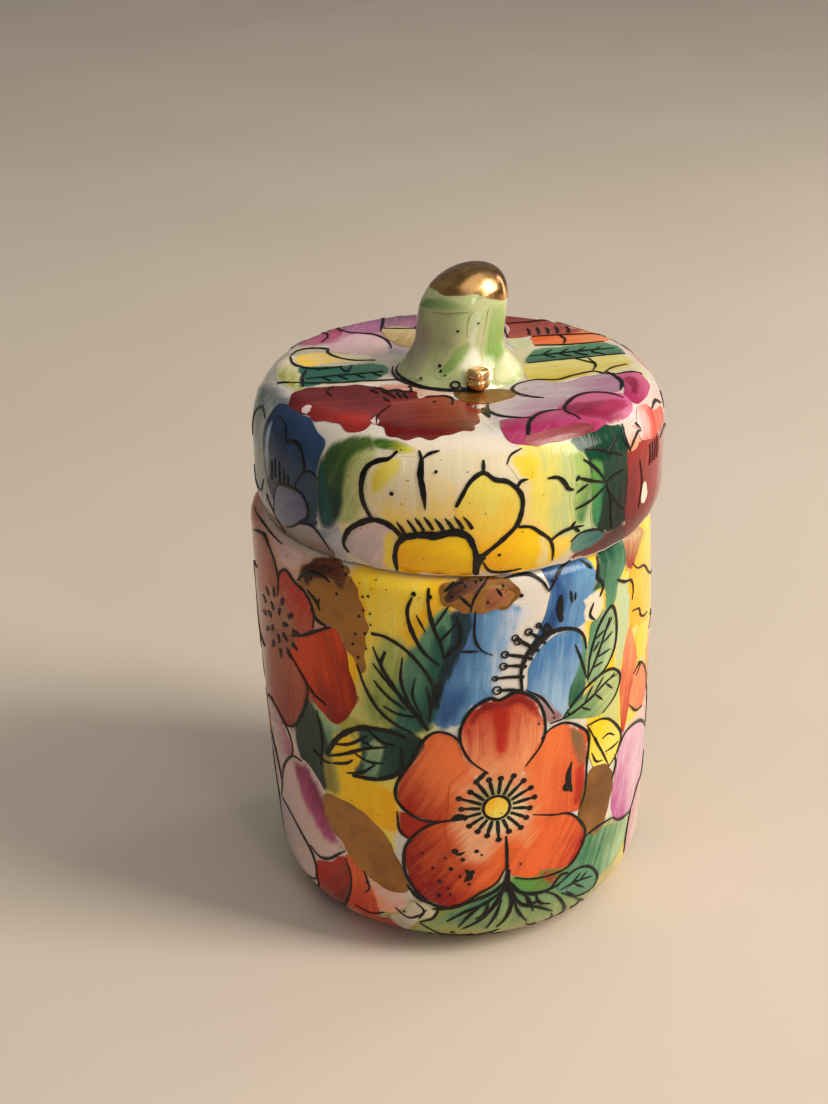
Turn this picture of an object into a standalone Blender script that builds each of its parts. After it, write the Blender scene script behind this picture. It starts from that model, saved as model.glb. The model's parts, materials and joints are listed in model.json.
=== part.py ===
"""Small lidded porcelain jar: a jar with a raised collar, a cap lid that sits over it, and a finial.

The origin is on the surface that the jar stands on, midway between the axes of the jar and of its
loose lid, which are 1 mm apart. +Z is up and -Y is the front.
"""
from math import cos, pi, radians, sin

import bpy
import bmesh

MM = 0.001

# Jar body
FOOT_RADIUS = 24.25 * MM        # outer wall just above the rounded bottom
SHOULDER_RADIUS = 24.85 * MM    # outer wall just below the seat
WALL_SWELL = 0.4 * MM           # how far the wall stands out half way up
BOTTOM_ROUND = 8.3 * MM
SEAT_HEIGHT = 54.0 * MM         # ledge that the lid rests on
SEAT_SLANT = 0.03               # radians; the ledge falls towards +X, a small warp from firing
SHOULDER_ROUND = 2.0 * MM
WALL = 2.7 * MM
FLOOR = 3.4 * MM
FOOT_RECESS_RADIUS = 13.4 * MM
FOOT_RECESS = 0.9 * MM
INSIDE_ROUND = 6.0 * MM

# Collar that the lid fits over
COLLAR_RADIUS = 19.3 * MM
COLLAR_WALL = 2.2 * MM
COLLAR_HEIGHT = 6.0 * MM

# Lid, measured from the seat
LID_RADIUS = 25.0 * MM
LID_RIM_RADIUS = 23.9 * MM      # the wall draws in towards the rim
LID_HEIGHT = 16.4 * MM
LID_TUCK = 3.9 * MM             # height at which the wall reaches its full radius
LID_CORNER_OUT = 4.4 * MM       # the top edge is a quarter of an ellipse
LID_CORNER_DOWN = 6.8 * MM
LID_DISH = 0.4 * MM             # the top sinks this far towards the finial
LID_THICKNESS = 2.5 * MM
LID_INSIDE_RADIUS = 21.9 * MM
LID_INSIDE_ROUND = 4.0 * MM
LID_SHIFT = 1.0 * MM            # the loose lid sits off the jar's centre, towards +X
RIM_EDGE = 0.4 * MM

# Bead inside the lid's rim that centres it on the collar
RING_INNER = 20.95 * MM
RING_OUTER = 21.6 * MM
RING_HEIGHT = 2.6 * MM

# Finial and the small bud at its foot
FINIAL_HEIGHT = 13.1 * MM
FINIAL_LEAN = 2.1 * MM          # the tip bends over towards +X
FINIAL_CENTRE = 0.1 * MM
BUD_RADIUS = 1.35 * MM
BUD_ANGLE = radians(-75)        # seen from above, measured from +X

GAP = 0.3 * MM                  # clearance between neighbouring pieces
AROUND = 64
FINIAL_AROUND = 32


def clear_scene():
    for thing in list(bpy.data.objects):
        bpy.data.objects.remove(thing, do_unlink=True)


def make_material(name, colour, roughness, metallic=0.0):
    material = bpy.data.materials.new(name)
    material.use_nodes = True
    shader = material.node_tree.nodes["Principled BSDF"]
    shader.inputs["Base Color"].default_value = (*colour, 1.0)
    shader.inputs["Roughness"].default_value = roughness
    shader.inputs["Metallic"].default_value = metallic
    return material


def arc(centre, radii, start, end, steps):
    """Points along part of an ellipse in the X-Z plane; angles in degrees, 0 outward and 90 up."""
    points = []
    for i in range(steps + 1):
        angle = radians(start + (end - start) * i / steps)
        points.append((centre[0] + radii[0] * cos(angle), centre[1] + radii[1] * sin(angle)))
    return points


def turned(name, profile, around, collection, material):
    """A closed solid of revolution. The profile runs down its outer side."""
    mesh = bpy.data.meshes.new(name)
    vertices = [(radius, 0.0, height) for radius, height in profile]
    edges = [(i, i + 1) for i in range(len(profile) - 1)]
    if profile[0][0] > 0:
        edges.append((len(profile) - 1, 0))
    mesh.from_pydata(vertices, edges, [])
    outline = bpy.data.objects.new(name + "_outline", mesh)
    collection.objects.link(outline)
    screw = outline.modifiers.new("turn", "SCREW")
    screw.steps = around
    screw.render_steps = around
    screw.use_merge_vertices = True
    screw.merge_threshold = 0.00001
    screw.use_normal_calculate = False
    solid_mesh = bpy.data.meshes.new_from_object(outline.evaluated_get(bpy.context.evaluated_depsgraph_get()))
    bpy.data.objects.remove(outline, do_unlink=True)
    return add_piece(name, solid_mesh, collection, material)


def add_piece(name, mesh, collection, material):
    mesh.name = name
    mesh.materials.clear()
    mesh.materials.append(material)
    mesh.shade_smooth()
    mesh.set_sharp_from_angle(angle=radians(40))
    piece = bpy.data.objects.new(name, mesh)
    collection.objects.link(piece)
    return piece


def jar_profile():
    """From the middle of the floor inside, up, over the collar's lip and down the outside."""
    inside_radius = FOOT_RADIUS - WALL
    collar_inside = COLLAR_RADIUS - COLLAR_WALL
    collar_top = SEAT_HEIGHT + COLLAR_HEIGHT
    lip = COLLAR_WALL / 2
    profile = [(0.0, FLOOR)]
    profile += arc((inside_radius - INSIDE_ROUND, FLOOR + INSIDE_ROUND), (INSIDE_ROUND, INSIDE_ROUND), -90, 0, 5)
    neck = inside_radius - collar_inside
    profile += arc((collar_inside, SEAT_HEIGHT - WALL - neck), (neck, neck), 0, 80, 5)
    profile += [(collar_inside, SEAT_HEIGHT - WALL / 2)]
    profile += arc((COLLAR_RADIUS - lip, collar_top - lip), (lip, lip), 180, 0, 6)
    profile += [(COLLAR_RADIUS, SEAT_HEIGHT)]
    profile += arc((SHOULDER_RADIUS - SHOULDER_ROUND, SEAT_HEIGHT - SHOULDER_ROUND),
                   (SHOULDER_ROUND, SHOULDER_ROUND), 90, 0, 4)
    wall_top = SEAT_HEIGHT - SHOULDER_ROUND
    for i in range(1, 6):
        down = i / 6
        radius = SHOULDER_RADIUS + (FOOT_RADIUS - SHOULDER_RADIUS) * down + WALL_SWELL * 4 * down * (1 - down)
        profile.append((radius, wall_top + (BOTTOM_ROUND - wall_top) * down))
    profile += arc((FOOT_RADIUS - BOTTOM_ROUND, BOTTOM_ROUND), (BOTTOM_ROUND, BOTTOM_ROUND), 0, -90, 8)
    profile += [(FOOT_RECESS_RADIUS + FOOT_RECESS, 0.0)]
    profile += [(FOOT_RECESS_RADIUS, FOOT_RECESS), (0.0, FOOT_RECESS)]
    return profile


def make_jar(collection):
    jar = turned("jar_body", jar_profile(), AROUND, collection,
                 make_material("painted_porcelain", (0.82, 0.78, 0.72), 0.15))
    for vertex in jar.data.vertices:
        raised = min(vertex.co.z / SEAT_HEIGHT, 1.0)
        vertex.co.z -= SEAT_SLANT * vertex.co.x * raised
    jar.location = (-LID_SHIFT / 2, 0.0, 0.0)
    return jar


def lid_profile():
    """From the middle of the top, down the outside, round the rim and up the inside."""
    corner_centre = (LID_RADIUS - LID_CORNER_OUT, LID_HEIGHT - LID_CORNER_DOWN)
    profile = [(0.0, LID_HEIGHT - LID_DISH), (9.5 * MM, LID_HEIGHT - LID_DISH), (15.0 * MM, LID_HEIGHT - LID_DISH / 3)]
    profile += arc(corner_centre, (LID_CORNER_OUT, LID_CORNER_DOWN), 90, 0, 8)
    for i in range(0, 4):
        down = i / 4
        radius = LID_RIM_RADIUS + (LID_RADIUS - LID_RIM_RADIUS) * cos(down * pi / 2)
        profile.append((radius, LID_TUCK + (GAP + RIM_EDGE - LID_TUCK) * down))
    profile += arc((LID_RIM_RADIUS - RIM_EDGE, GAP + RIM_EDGE), (RIM_EDGE, RIM_EDGE), 0, -90, 3)
    profile += [(LID_INSIDE_RADIUS, GAP)]
    ceiling = LID_HEIGHT - LID_DISH - LID_THICKNESS
    profile += arc((LID_INSIDE_RADIUS - LID_INSIDE_ROUND, ceiling - LID_INSIDE_ROUND),
                   (LID_INSIDE_ROUND, LID_INSIDE_ROUND), 0, 90, 5)
    profile += [(0.0, ceiling)]
    return profile


def ring_profile():
    return [(RING_OUTER, GAP + RING_HEIGHT), (RING_OUTER, GAP), (RING_INNER, GAP), (RING_INNER, GAP + RING_HEIGHT)]


def finial_radius(height):
    """Half width of the finial: a flared foot that runs into a stem with a domed tip."""
    flare = 2.55 * MM * (1 - min(height / (4.6 * MM), 1.0)) ** 1.5
    stem = 5.2 * MM
    dome_start = 7.0 * MM
    if height > dome_start:
        climb = (height - dome_start) / (FINIAL_HEIGHT - dome_start)
        stem *= max(1 - climb ** 2.2, 0.0) ** 0.5
    return stem + flare


def finial_profile():
    foot_round = 0.5 * MM
    heights = [FINIAL_HEIGHT * (1 - (1 - i / 9) ** 1.6) for i in range(10)]
    profile = [(finial_radius(height), height) for height in reversed(heights) if height > foot_round]
    profile[0] = (0.0, FINIAL_HEIGHT)
    foot = finial_radius(foot_round)
    profile += arc((foot - foot_round, foot_round), (foot_round, foot_round), 0, -90, 3)
    profile += [(0.0, 0.0)]
    return profile


def make_finial(collection, lid_axis):
    finial = turned("finial", finial_profile(), FINIAL_AROUND, collection,
                    make_material("green_glaze", (0.62, 0.68, 0.36), 0.12))
    for vertex in finial.data.vertices:
        vertex.co.x += FINIAL_CENTRE + FINIAL_LEAN * (vertex.co.z / FINIAL_HEIGHT) ** 3
    finial.parent = lid_axis
    finial.location = (0.0, 0.0, LID_HEIGHT - LID_DISH + GAP)
    return finial


def make_bud(collection, lid_axis):
    model = bmesh.new()
    bmesh.ops.create_uvsphere(model, u_segments=16, v_segments=10, radius=BUD_RADIUS)
    mesh = bpy.data.meshes.new("finial_bud")
    model.to_mesh(mesh)
    model.free()
    bud = add_piece("finial_bud", mesh, collection, make_material("bright_gilding", (0.83, 0.58, 0.25), 0.18, 1.0))
    distance = finial_radius(BUD_RADIUS) + GAP + BUD_RADIUS
    bud.parent = lid_axis
    bud.location = (distance * cos(BUD_ANGLE), distance * sin(BUD_ANGLE), LID_HEIGHT - LID_DISH + GAP + BUD_RADIUS)
    return bud


def make_lid(collection):
    """The lid's pieces hang from an empty on the axis that the lid lifts along and turns about."""
    lid_axis = bpy.data.objects.new("lid_axis", None)
    lid_axis.location = (LID_SHIFT / 2, 0.0, SEAT_HEIGHT - SEAT_SLANT * LID_SHIFT)
    lid_axis.rotation_euler = (0.0, SEAT_SLANT, 0.0)
    collection.objects.link(lid_axis)
    shell = turned("lid_shell", lid_profile(), AROUND, collection,
                   make_material("painted_lid", (0.80, 0.74, 0.66), 0.15))
    shell.parent = lid_axis
    ring = turned("lid_guide_ring", ring_profile(), AROUND, collection,
                  make_material("bare_porcelain", (0.86, 0.83, 0.78), 0.6))
    ring.parent = lid_axis
    make_finial(collection, lid_axis)
    make_bud(collection, lid_axis)


def main():
    clear_scene()
    collection = bpy.data.collections.new("lidded_jar")
    bpy.context.scene.collection.children.link(collection)
    make_jar(collection)
    make_lid(collection)
    bpy.context.view_layer.update()


main()
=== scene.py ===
"""Looks of a small painted porcelain jar with a cap lid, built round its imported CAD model.

Lengths are in millimetres until a mesh is made. A painted surface has two coordinates: s runs round it
and v runs up it, or x and y on the lid's top. Outlines are drawn in those coordinates, and every patch of
enamel, line and gilding is a thin closed solid that follows the glaze.
"""
import json
from math import cos, degrees, pi, radians, sin

import bpy
import numpy as np
from mathutils import Matrix, Vector
from mathutils.geometry import delaunay_2d_cdt


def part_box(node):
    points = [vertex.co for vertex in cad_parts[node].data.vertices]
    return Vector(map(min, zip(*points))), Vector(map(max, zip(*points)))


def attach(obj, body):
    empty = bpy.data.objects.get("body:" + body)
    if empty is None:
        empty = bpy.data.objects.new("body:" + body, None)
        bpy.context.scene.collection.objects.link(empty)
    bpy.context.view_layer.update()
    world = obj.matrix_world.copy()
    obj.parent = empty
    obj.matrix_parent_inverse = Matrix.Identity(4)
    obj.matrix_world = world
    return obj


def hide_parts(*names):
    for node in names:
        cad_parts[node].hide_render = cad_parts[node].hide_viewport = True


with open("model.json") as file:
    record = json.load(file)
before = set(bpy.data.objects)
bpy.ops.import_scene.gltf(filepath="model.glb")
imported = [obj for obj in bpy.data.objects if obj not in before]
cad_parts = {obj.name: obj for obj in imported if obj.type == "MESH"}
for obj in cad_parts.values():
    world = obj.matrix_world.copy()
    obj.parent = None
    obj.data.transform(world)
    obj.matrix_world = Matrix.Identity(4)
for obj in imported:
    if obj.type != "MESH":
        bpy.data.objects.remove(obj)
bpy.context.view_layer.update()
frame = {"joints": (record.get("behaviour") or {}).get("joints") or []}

MM = 0.001

LIGHT_TARGET = Vector((0, 0, 0.045))    # metres

# Camera, at the photograph's viewing angle
CAMERA_TARGET = Vector((-5.3, 0.0, 45.8)) * MM
CAMERA_DISTANCE = 208.4 * MM
CAMERA_PITCH = radians(25.8)
CAMERA_ROLL = radians(-2.5)
CAMERA_LENS = 53.5

# Jar, measured from its foot
JAR_LOW, JAR_HIGH = (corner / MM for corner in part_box("jar_body"))
JAR_CENTRE = (JAR_LOW.x + JAR_HIGH.x) / 2
FOOT_RADIUS = 24.25
SHOULDER_RADIUS = 24.85
WALL_SWELL = 0.4
BOTTOM_ROUND = 8.3
SHOULDER_ROUND = 2.0
SEAT_HEIGHT = 54.0
SEAT_SLANT = 0.03
WALL = 2.7
FLOOR = 3.4
FOOT_RECESS = 0.9
FOOT_RECESS_RADIUS = 13.4
INSIDE_ROUND = 6.0
BARE_FOOT_RINGS = 4             # rings of the outer wall that stay unglazed at the foot
SEAT_INSET = 22.7               # where the flat seat starts, inside the shoulder
COLLAR_RADIUS = 19.3
COLLAR_WALL = 2.2
COLLAR_HEIGHT = 6.0
COLLAR_FILLET = 0.4
JAR_SCALE = 24.5                # s on the jar is this radius times the angle round it

# Lid, measured from the seat along its own axis
TURN = next(joint for joint in frame["joints"] if joint["name"] == "lid_turn")
LID_BASE = Vector(TURN["pos_m"]) / MM
LID_TILT = SEAT_SLANT
LID_RADIUS = 25.0
LID_RIM_RADIUS = 23.9
LID_HEIGHT = 16.4
LID_TUCK = 3.9
LID_CORNER_OUT = 4.4
LID_CORNER_DOWN = 6.8
LID_DISH = 0.4
LID_DISH_RUN = 11.0             # the top sinks over this distance from its edge
LID_THICKNESS = 2.5
LID_INSIDE_RADIUS = 21.9
LID_INSIDE_ROUND = 4.0
LID_GAP = 0.25
RIM_ROUND = 0.4
RIM_BARE_HEIGHT = 1.0           # the glaze inside the cap stops this far above the seat
BEAD_OUTER = 21.55
BEAD_INNER = 20.95
BEAD_HEIGHT = 2.6

# Finial, measured from the lid's top
FINIAL_HEIGHT = 13.1
FINIAL_ROOT = -0.35             # its lowest ring, sunk into the lid
FINIAL_LEAN = 2.1
FINIAL_RADIUS = 5.2
FLARE = 2.55                    # how much wider the foot is
FLARE_HEIGHT = 4.6
STEM_RADIUS = 5.0               # s on the finial is this radius times the angle round it
DOME_START = 7.0
DOME_HEIGHT = FINIAL_HEIGHT - DOME_START
DOME_POWER = 2.7                # 2 would be a round tip, more is squarer
BUD_RADIUS = 1.26

AROUND = 288                    # segments round the jar and the lid
FINIAL_AROUND = 96              # segments round the finial
BUD_AROUND = 40                 # segments round its bud
GLAZED, BARE = 0, 1             # material slots of the jar and the lid
SUNK = -0.03                    # height of the enamel's underside over the glaze
FIRST_LAYER = 0.045             # height of a motif's lowest enamel over the glaze
LAYER = 0.007                   # added for each patch painted after it
LINE_LAYER = 0.155              # foot of the drawn lines, over all the enamel
PEN = 0.88                      # a drawn line's width, as a share of the width it is given
GRID = 0.45                     # spacing of a patch's inner points
GRID_ROW = 0.87 * GRID          # spacing of their staggered rows


# ---------------------------------------------------------------- surfaces

def arc(centre, radii, start, end, steps):
    """Points along part of a circle, or of an ellipse if radii is a pair. Angles are in degrees, 90 up."""
    angles = np.radians(np.linspace(start, end, steps + 1))
    return np.stack([np.cos(angles), np.sin(angles)], -1) * radii + centre


def ripple(angle, v):
    """The slow unevenness of slip-cast ware, in millimetres."""
    return (0.05 * np.sin(3 * angle + v / 9) + 0.035 * np.sin(5 * angle - v / 6 + 1.0)
            + 0.03 * np.sin(v / 3.7 + 2 * angle) + 0.015 * np.sin(11 * angle + v / 2.9))


class Surface:
    """A turned surface: radius and height against v, read between samples of its profile."""

    def __init__(self, profile, v, place):
        self.radius, self.height = profile[:, 0], profile[:, 1]
        self.v = np.asarray(v, float)
        self.place = place

    def at(self, angle, v, lift=0.0):
        """World points at an angle from the front and a distance v along the profile, raised by lift."""
        angle, v = np.broadcast_arrays(np.asarray(angle, float), np.asarray(v, float))
        radius = np.interp(v, self.v, self.radius)
        height = np.interp(v, self.v, self.height)
        step = 0.02
        out = np.interp(v + step, self.v, self.radius) - np.interp(v - step, self.v, self.radius)
        up = np.interp(v + step, self.v, self.height) - np.interp(v - step, self.v, self.height)
        length = np.hypot(out, up) + 1e-9
        lift = lift + ripple(angle, v) * np.clip(radius / 12, 0, 1)
        radius = radius + lift * up / length
        height = height - lift * out / length
        return self.place(np.stack([radius * np.sin(angle), -radius * np.cos(angle), height], -1))


def place_jar(points):
    """Turned points to the world: the jar's seat slants."""
    raised = np.clip(points[..., 2] / SEAT_HEIGHT, 0, 1)
    points[..., 2] -= SEAT_SLANT * points[..., 0] * raised
    points[..., 0] += JAR_CENTRE
    return points * MM


def place_lid(points):
    """Turned points to the world: the lid sits on the slanted seat."""
    x, z = points[..., 0].copy(), points[..., 2].copy()
    points[..., 0] = x * cos(LID_TILT) + z * sin(LID_TILT) + LID_BASE.x
    points[..., 2] = z * cos(LID_TILT) - x * sin(LID_TILT) + LID_BASE.z
    return points * MM


def jar_surface():
    bottom = arc((FOOT_RADIUS - BOTTOM_ROUND, BOTTOM_ROUND), BOTTOM_ROUND, -90, 0, 40)
    bottom_v = BOTTOM_ROUND - BOTTOM_ROUND * np.linspace(pi / 2, 0, 41)
    wall_top = SEAT_HEIGHT - SHOULDER_ROUND
    v = np.linspace(BOTTOM_ROUND, wall_top, 45)[1:]
    up = (v - BOTTOM_ROUND) / (wall_top - BOTTOM_ROUND)
    radius = FOOT_RADIUS + (SHOULDER_RADIUS - FOOT_RADIUS) * up + WALL_SWELL * 4 * up * (1 - up)
    shoulder = arc((SHOULDER_RADIUS - SHOULDER_ROUND, wall_top), SHOULDER_ROUND, 0, 90, 14)[1:]
    shoulder_v = wall_top + SHOULDER_ROUND * np.linspace(0, pi / 2, 15)[1:]
    profile = np.concatenate([bottom, np.stack([radius, v], -1), shoulder])
    return Surface(profile, np.concatenate([bottom_v, v, shoulder_v]), place_jar)


def lid_surface():
    tuck = np.linspace(LID_GAP, LID_TUCK, 16)
    widening = (LID_RADIUS - LID_RIM_RADIUS) * np.sin(tuck / LID_TUCK * pi / 2)
    low = np.stack([LID_RIM_RADIUS + widening, tuck], -1)
    corner_low = LID_HEIGHT - LID_CORNER_DOWN
    top_radius = LID_RADIUS - LID_CORNER_OUT
    corner = arc((top_radius, corner_low), (LID_CORNER_OUT, LID_CORNER_DOWN), 0, 90, 48)
    inward = np.linspace(top_radius, 0, 30)[1:]
    dish = LID_DISH * np.clip((top_radius - inward) / LID_DISH_RUN, 0, 1)
    top = np.stack([inward, LID_HEIGHT - dish], -1)
    profile = np.concatenate([low, corner, top])
    steps = np.hypot(*np.diff(corner, axis=0).T)
    corner_v = corner_low + np.concatenate([[0], np.cumsum(steps)])
    top_v = corner_v[-1] + top_radius - inward
    return Surface(profile, np.concatenate([tuck, corner_v, top_v]), place_lid)


def finial_radius(height):
    """Half width of the finial: a flared foot that runs into a stem with a domed tip."""
    flare = FLARE * (1 - np.clip(height / FLARE_HEIGHT, 0, 1)) ** 1.5
    climb = np.clip((height - DOME_START) / DOME_HEIGHT, 0, 1)
    return FINIAL_RADIUS * np.sqrt(np.clip(1 - climb ** DOME_POWER, 0, 1)) + flare


def dome_height(share):
    """Height at which the finial's dome has this share of its full width."""
    return DOME_START + DOME_HEIGHT * (1 - share ** 2) ** (1 / DOME_POWER)


JAR = jar_surface()
LID = lid_surface()
LID_CENTRE_V = LID.v[-1]


def on_jar(points, lift):
    return JAR.at(points[:, 0] / JAR_SCALE, points[:, 1], lift)


def on_lid_side(points, lift):
    return LID.at(points[:, 0] / LID_RADIUS, points[:, 1], lift)


def on_lid_top(points, lift):
    """x to the right and y to the back, measured over the surface from the middle of the top."""
    angle = np.arctan2(points[:, 0], -points[:, 1])
    return LID.at(angle, LID_CENTRE_V - np.hypot(points[:, 0], points[:, 1]), lift)


def on_finial(points, lift):
    """Points on the finial: mm round its stem, height above the lid."""
    points = np.asarray(points, float)
    height = np.clip(points[:, 1], 0, FINIAL_HEIGHT)
    return place_finial(points[:, 0] / STEM_RADIUS, height, finial_radius(height) + lift)


# ---------------------------------------------------------------- meshes

def finish_mesh(name, points, faces, body, materials, sharp=40):
    """A smooth piece that rides on a body and takes a material slot. Edges over sharp degrees stay hard."""
    mesh = bpy.data.meshes.new(name)
    mesh.from_pydata([tuple(p) for p in points], [], faces)
    for material in materials:
        mesh.materials.append(material)
    mesh.shade_smooth()
    mesh.set_sharp_from_angle(angle=radians(sharp))
    piece = bpy.data.objects.new(name, mesh)
    bpy.context.scene.collection.objects.link(piece)
    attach(piece, body)
    return piece


def revolved(name, rows, body, materials, bands):
    """A closed skin through rings of points, with a point at each end. bands gives each ring's material."""
    count = rows[0].shape[0]
    points = [rows[0].mean(0)] + [p for row in rows for p in row] + [rows[-1].mean(0)]
    last = len(points) - 1
    faces = [(0, 1 + (j + 1) % count, 1 + j) for j in range(count)]
    used = [bands[0]] * count
    for i in range(len(rows) - 1):
        for j in range(count):
            a, b = 1 + i * count + j, 1 + i * count + (j + 1) % count
            faces.append((a, b, b + count, a + count))
            used.append(bands[i])
    start = 1 + (len(rows) - 1) * count
    faces += [(last, start + j, start + (j + 1) % count) for j in range(count)]
    used += [bands[-1]] * count
    piece = finish_mesh(name, points, faces, body, materials)
    piece.data.polygons.foreach_set("material_index", used)
    return piece


def all_round(count):
    """Even angles once round."""
    return np.linspace(0, 2 * pi, count, endpoint=False)


def rings(profile, place):
    """A ring of points for each radius and height of a profile."""
    angle = all_round(AROUND)
    return [place(np.stack([radius * np.sin(angle), -radius * np.cos(angle), np.full(AROUND, height)], -1))
            for radius, height in profile]


def line_between(start, end, steps):
    return np.linspace(start, end, steps + 1)[1:]


def make_jar(glaze, bare):
    """Outer wall from the foot up, then the seat and collar, then the inside down to the floor."""
    recess = [(radius, FOOT_RECESS) for radius in np.linspace(0.5, FOOT_RECESS_RADIUS, 12)]
    foot_edge = [(FOOT_RECESS_RADIUS + 0.5, 0.3), (FOOT_RECESS_RADIUS + 0.9, 0.0)]
    rows = rings(recess + foot_edge, place_jar) + [JAR.at(all_round(AROUND), v) for v in JAR.v]
    bands = [GLAZED] * len(recess) + [BARE] * (len(foot_edge) + BARE_FOOT_RINGS)
    bands += [GLAZED] * (len(JAR.v) - BARE_FOOT_RINGS)
    inside = FOOT_RADIUS - WALL
    mouth = COLLAR_RADIUS - COLLAR_WALL
    lip = COLLAR_WALL / 2
    lip_low = SEAT_HEIGHT + COLLAR_HEIGHT - lip
    neck = inside - mouth
    neck_low = SEAT_HEIGHT - WALL - neck
    fillet_out, fillet_up = COLLAR_RADIUS + COLLAR_FILLET, SEAT_HEIGHT + COLLAR_FILLET
    collar = np.concatenate([
        line_between((SEAT_INSET, SEAT_HEIGHT), (fillet_out, SEAT_HEIGHT), 6),
        arc((fillet_out, fillet_up), COLLAR_FILLET, 270, 180, 4),
        line_between((COLLAR_RADIUS, fillet_up), (COLLAR_RADIUS, lip_low), 8),
        arc((COLLAR_RADIUS - lip, lip_low), lip, 0, 180, 14)[1:]])
    chamber = np.concatenate([
        line_between((mouth, lip_low), (mouth, SEAT_HEIGHT - WALL), 8),
        arc((mouth, neck_low), neck, 80, 0, 12),
        line_between((inside, neck_low), (inside, FLOOR + INSIDE_ROUND), 24),
        arc((inside - INSIDE_ROUND, FLOOR + INSIDE_ROUND), INSIDE_ROUND, 0, -90, 14)[1:],
        line_between((inside - INSIDE_ROUND, FLOOR), (0.5, FLOOR), 8)])
    rows += rings(collar, place_jar) + rings(chamber, place_jar)
    bands += [BARE] * len(collar) + [GLAZED] * len(chamber)
    jar = revolved("jar", rows, "jar", [glaze, bare], bands)
    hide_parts("jar_body")


def make_lid(glaze, bare):
    """Inside of the cap from its ceiling down, the bare rim, then the outside up to the middle of the top."""
    ceiling = LID_HEIGHT - LID_DISH - LID_THICKNESS
    round_in, round_low = LID_INSIDE_RADIUS - LID_INSIDE_ROUND, ceiling - LID_INSIDE_ROUND
    inside = np.concatenate([
        line_between((0.3, ceiling), (round_in, ceiling), 8),
        arc((round_in, round_low), LID_INSIDE_ROUND, 90, 0, 14)[1:],
        line_between((LID_INSIDE_RADIUS, round_low), (LID_INSIDE_RADIUS, RIM_BARE_HEIGHT + 0.2), 8)])
    rim = np.concatenate([
        line_between((LID_INSIDE_RADIUS, RIM_BARE_HEIGHT), (LID_INSIDE_RADIUS + 0.2, LID_GAP), 3),
        line_between((LID_INSIDE_RADIUS + 0.4, LID_GAP), (LID_RIM_RADIUS - RIM_ROUND - 0.1, LID_GAP), 4),
        arc((LID_RIM_RADIUS - RIM_ROUND, LID_GAP + RIM_ROUND), RIM_ROUND, 270, 350, 4)])
    outer_v = LID.v[LID.v > LID_GAP + RIM_ROUND + 0.05][:-1]
    rows = rings(inside, place_lid) + rings(rim, place_lid) + [LID.at(all_round(AROUND), v) for v in outer_v]
    bands = [GLAZED] * len(inside) + [BARE] * len(rim) + [GLAZED] * len(outer_v)
    lid = revolved("lid", rows, "lid", [glaze, bare], bands)
    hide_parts("lid_shell")


def make_guide_bead(bare):
    """The ground bead inside the rim that centres the lid on the collar."""
    middle = (BEAD_OUTER + BEAD_INNER) / 2
    half = (BEAD_OUTER - BEAD_INNER) / 2
    under = arc((middle, LID_GAP + 0.3), (half, 0.25), 0, -180, 8)
    over = arc((middle, LID_GAP + BEAD_HEIGHT - 0.2), (half, 0.3), 180, 0, 8)
    profile = np.concatenate([under, over])
    count = len(profile)
    points = np.concatenate(rings(profile, place_lid))
    faces = []
    for i in range(count):
        for j in range(AROUND):
            k, n = (i + 1) % count, (j + 1) % AROUND
            faces.append((i * AROUND + j, k * AROUND + j, k * AROUND + n, i * AROUND + n))
    bead = finish_mesh("lid_guide_bead", points, faces, "lid_carrier", [bare])
    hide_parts("lid_guide_ring")


# ---------------------------------------------------------------- painting

GLAZE_WHITE = (0.70, 0.625, 0.535)


def smooth(points, closed=False, step=0.4):
    """A Catmull-Rom curve through the points, sampled about every step millimetres."""
    points = np.asarray(points, float)
    count = len(points)
    if closed:
        padded = np.concatenate([points[-1:], points, points[:2]])
    else:
        padded = np.concatenate([2 * points[:1] - points[1:2], points, 2 * points[-1:] - points[-2:-1]])
    found = []
    for i in range(count if closed else count - 1):
        a, b, c, d = padded[i:i + 4]
        steps = max(2, int(np.ceil(np.hypot(*(c - b)) / step)))
        t = np.linspace(0, 1, steps, endpoint=False)[:, None]
        found.append(0.5 * (2 * b + (c - a) * t + (2 * a - 5 * b + 4 * c - d) * t ** 2
                            + (3 * b - a - 3 * c + d) * t ** 3))
    if not closed:
        found.append(points[-1:])
    return np.concatenate(found)


def inside_and_away(points, outline):
    """Which points lie inside a closed outline, and how far each is from it."""
    a, b = outline, np.roll(outline, -1, axis=0)
    px, py = points[:, 0][:, None], points[:, 1][:, None]
    crosses = (a[:, 1] > py) != (b[:, 1] > py)
    slope = (b[:, 0] - a[:, 0]) / np.where(b[:, 1] == a[:, 1], 1e-9, b[:, 1] - a[:, 1])
    inside = (crosses & (px < a[:, 0] + slope * (py - a[:, 1]))).sum(1) % 2 == 1
    edge = b - a
    along = ((px - a[:, 0]) * edge[:, 0] + (py - a[:, 1]) * edge[:, 1]) / ((edge ** 2).sum(1) + 1e-12)
    along = np.clip(along, 0, 1)
    away = np.hypot(px - a[:, 0] - along * edge[:, 0], py - a[:, 1] - along * edge[:, 1]).min(1)
    return inside, away


def triangulated(outline):
    """A closed outline cut into small triangles, and how far each point is from its edge."""
    low, high = outline.min(0), outline.max(0)
    across, up = np.meshgrid(np.arange(low[0], high[0], GRID), np.arange(low[1], high[1], GRID_ROW))
    across = across + (np.arange(across.shape[0]) % 2)[:, None] * GRID / 2
    grid = np.stack([across.ravel(), up.ravel()], -1)
    inside, away = inside_and_away(grid, outline)
    grid = grid[inside & (away > 0.4 * GRID)]
    points = [Vector(p) for p in np.concatenate([outline, grid])]
    count = len(outline)
    edges = [(i, (i + 1) % count) for i in range(count)]
    found, _, triangles, *_ = delaunay_2d_cdt(points, edges, [tuple(range(count))], 1, 1e-4)
    found = np.array([tuple(p) for p in found])
    return found, [tuple(t) for t in triangles], inside_and_away(found, outline)[1]


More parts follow.
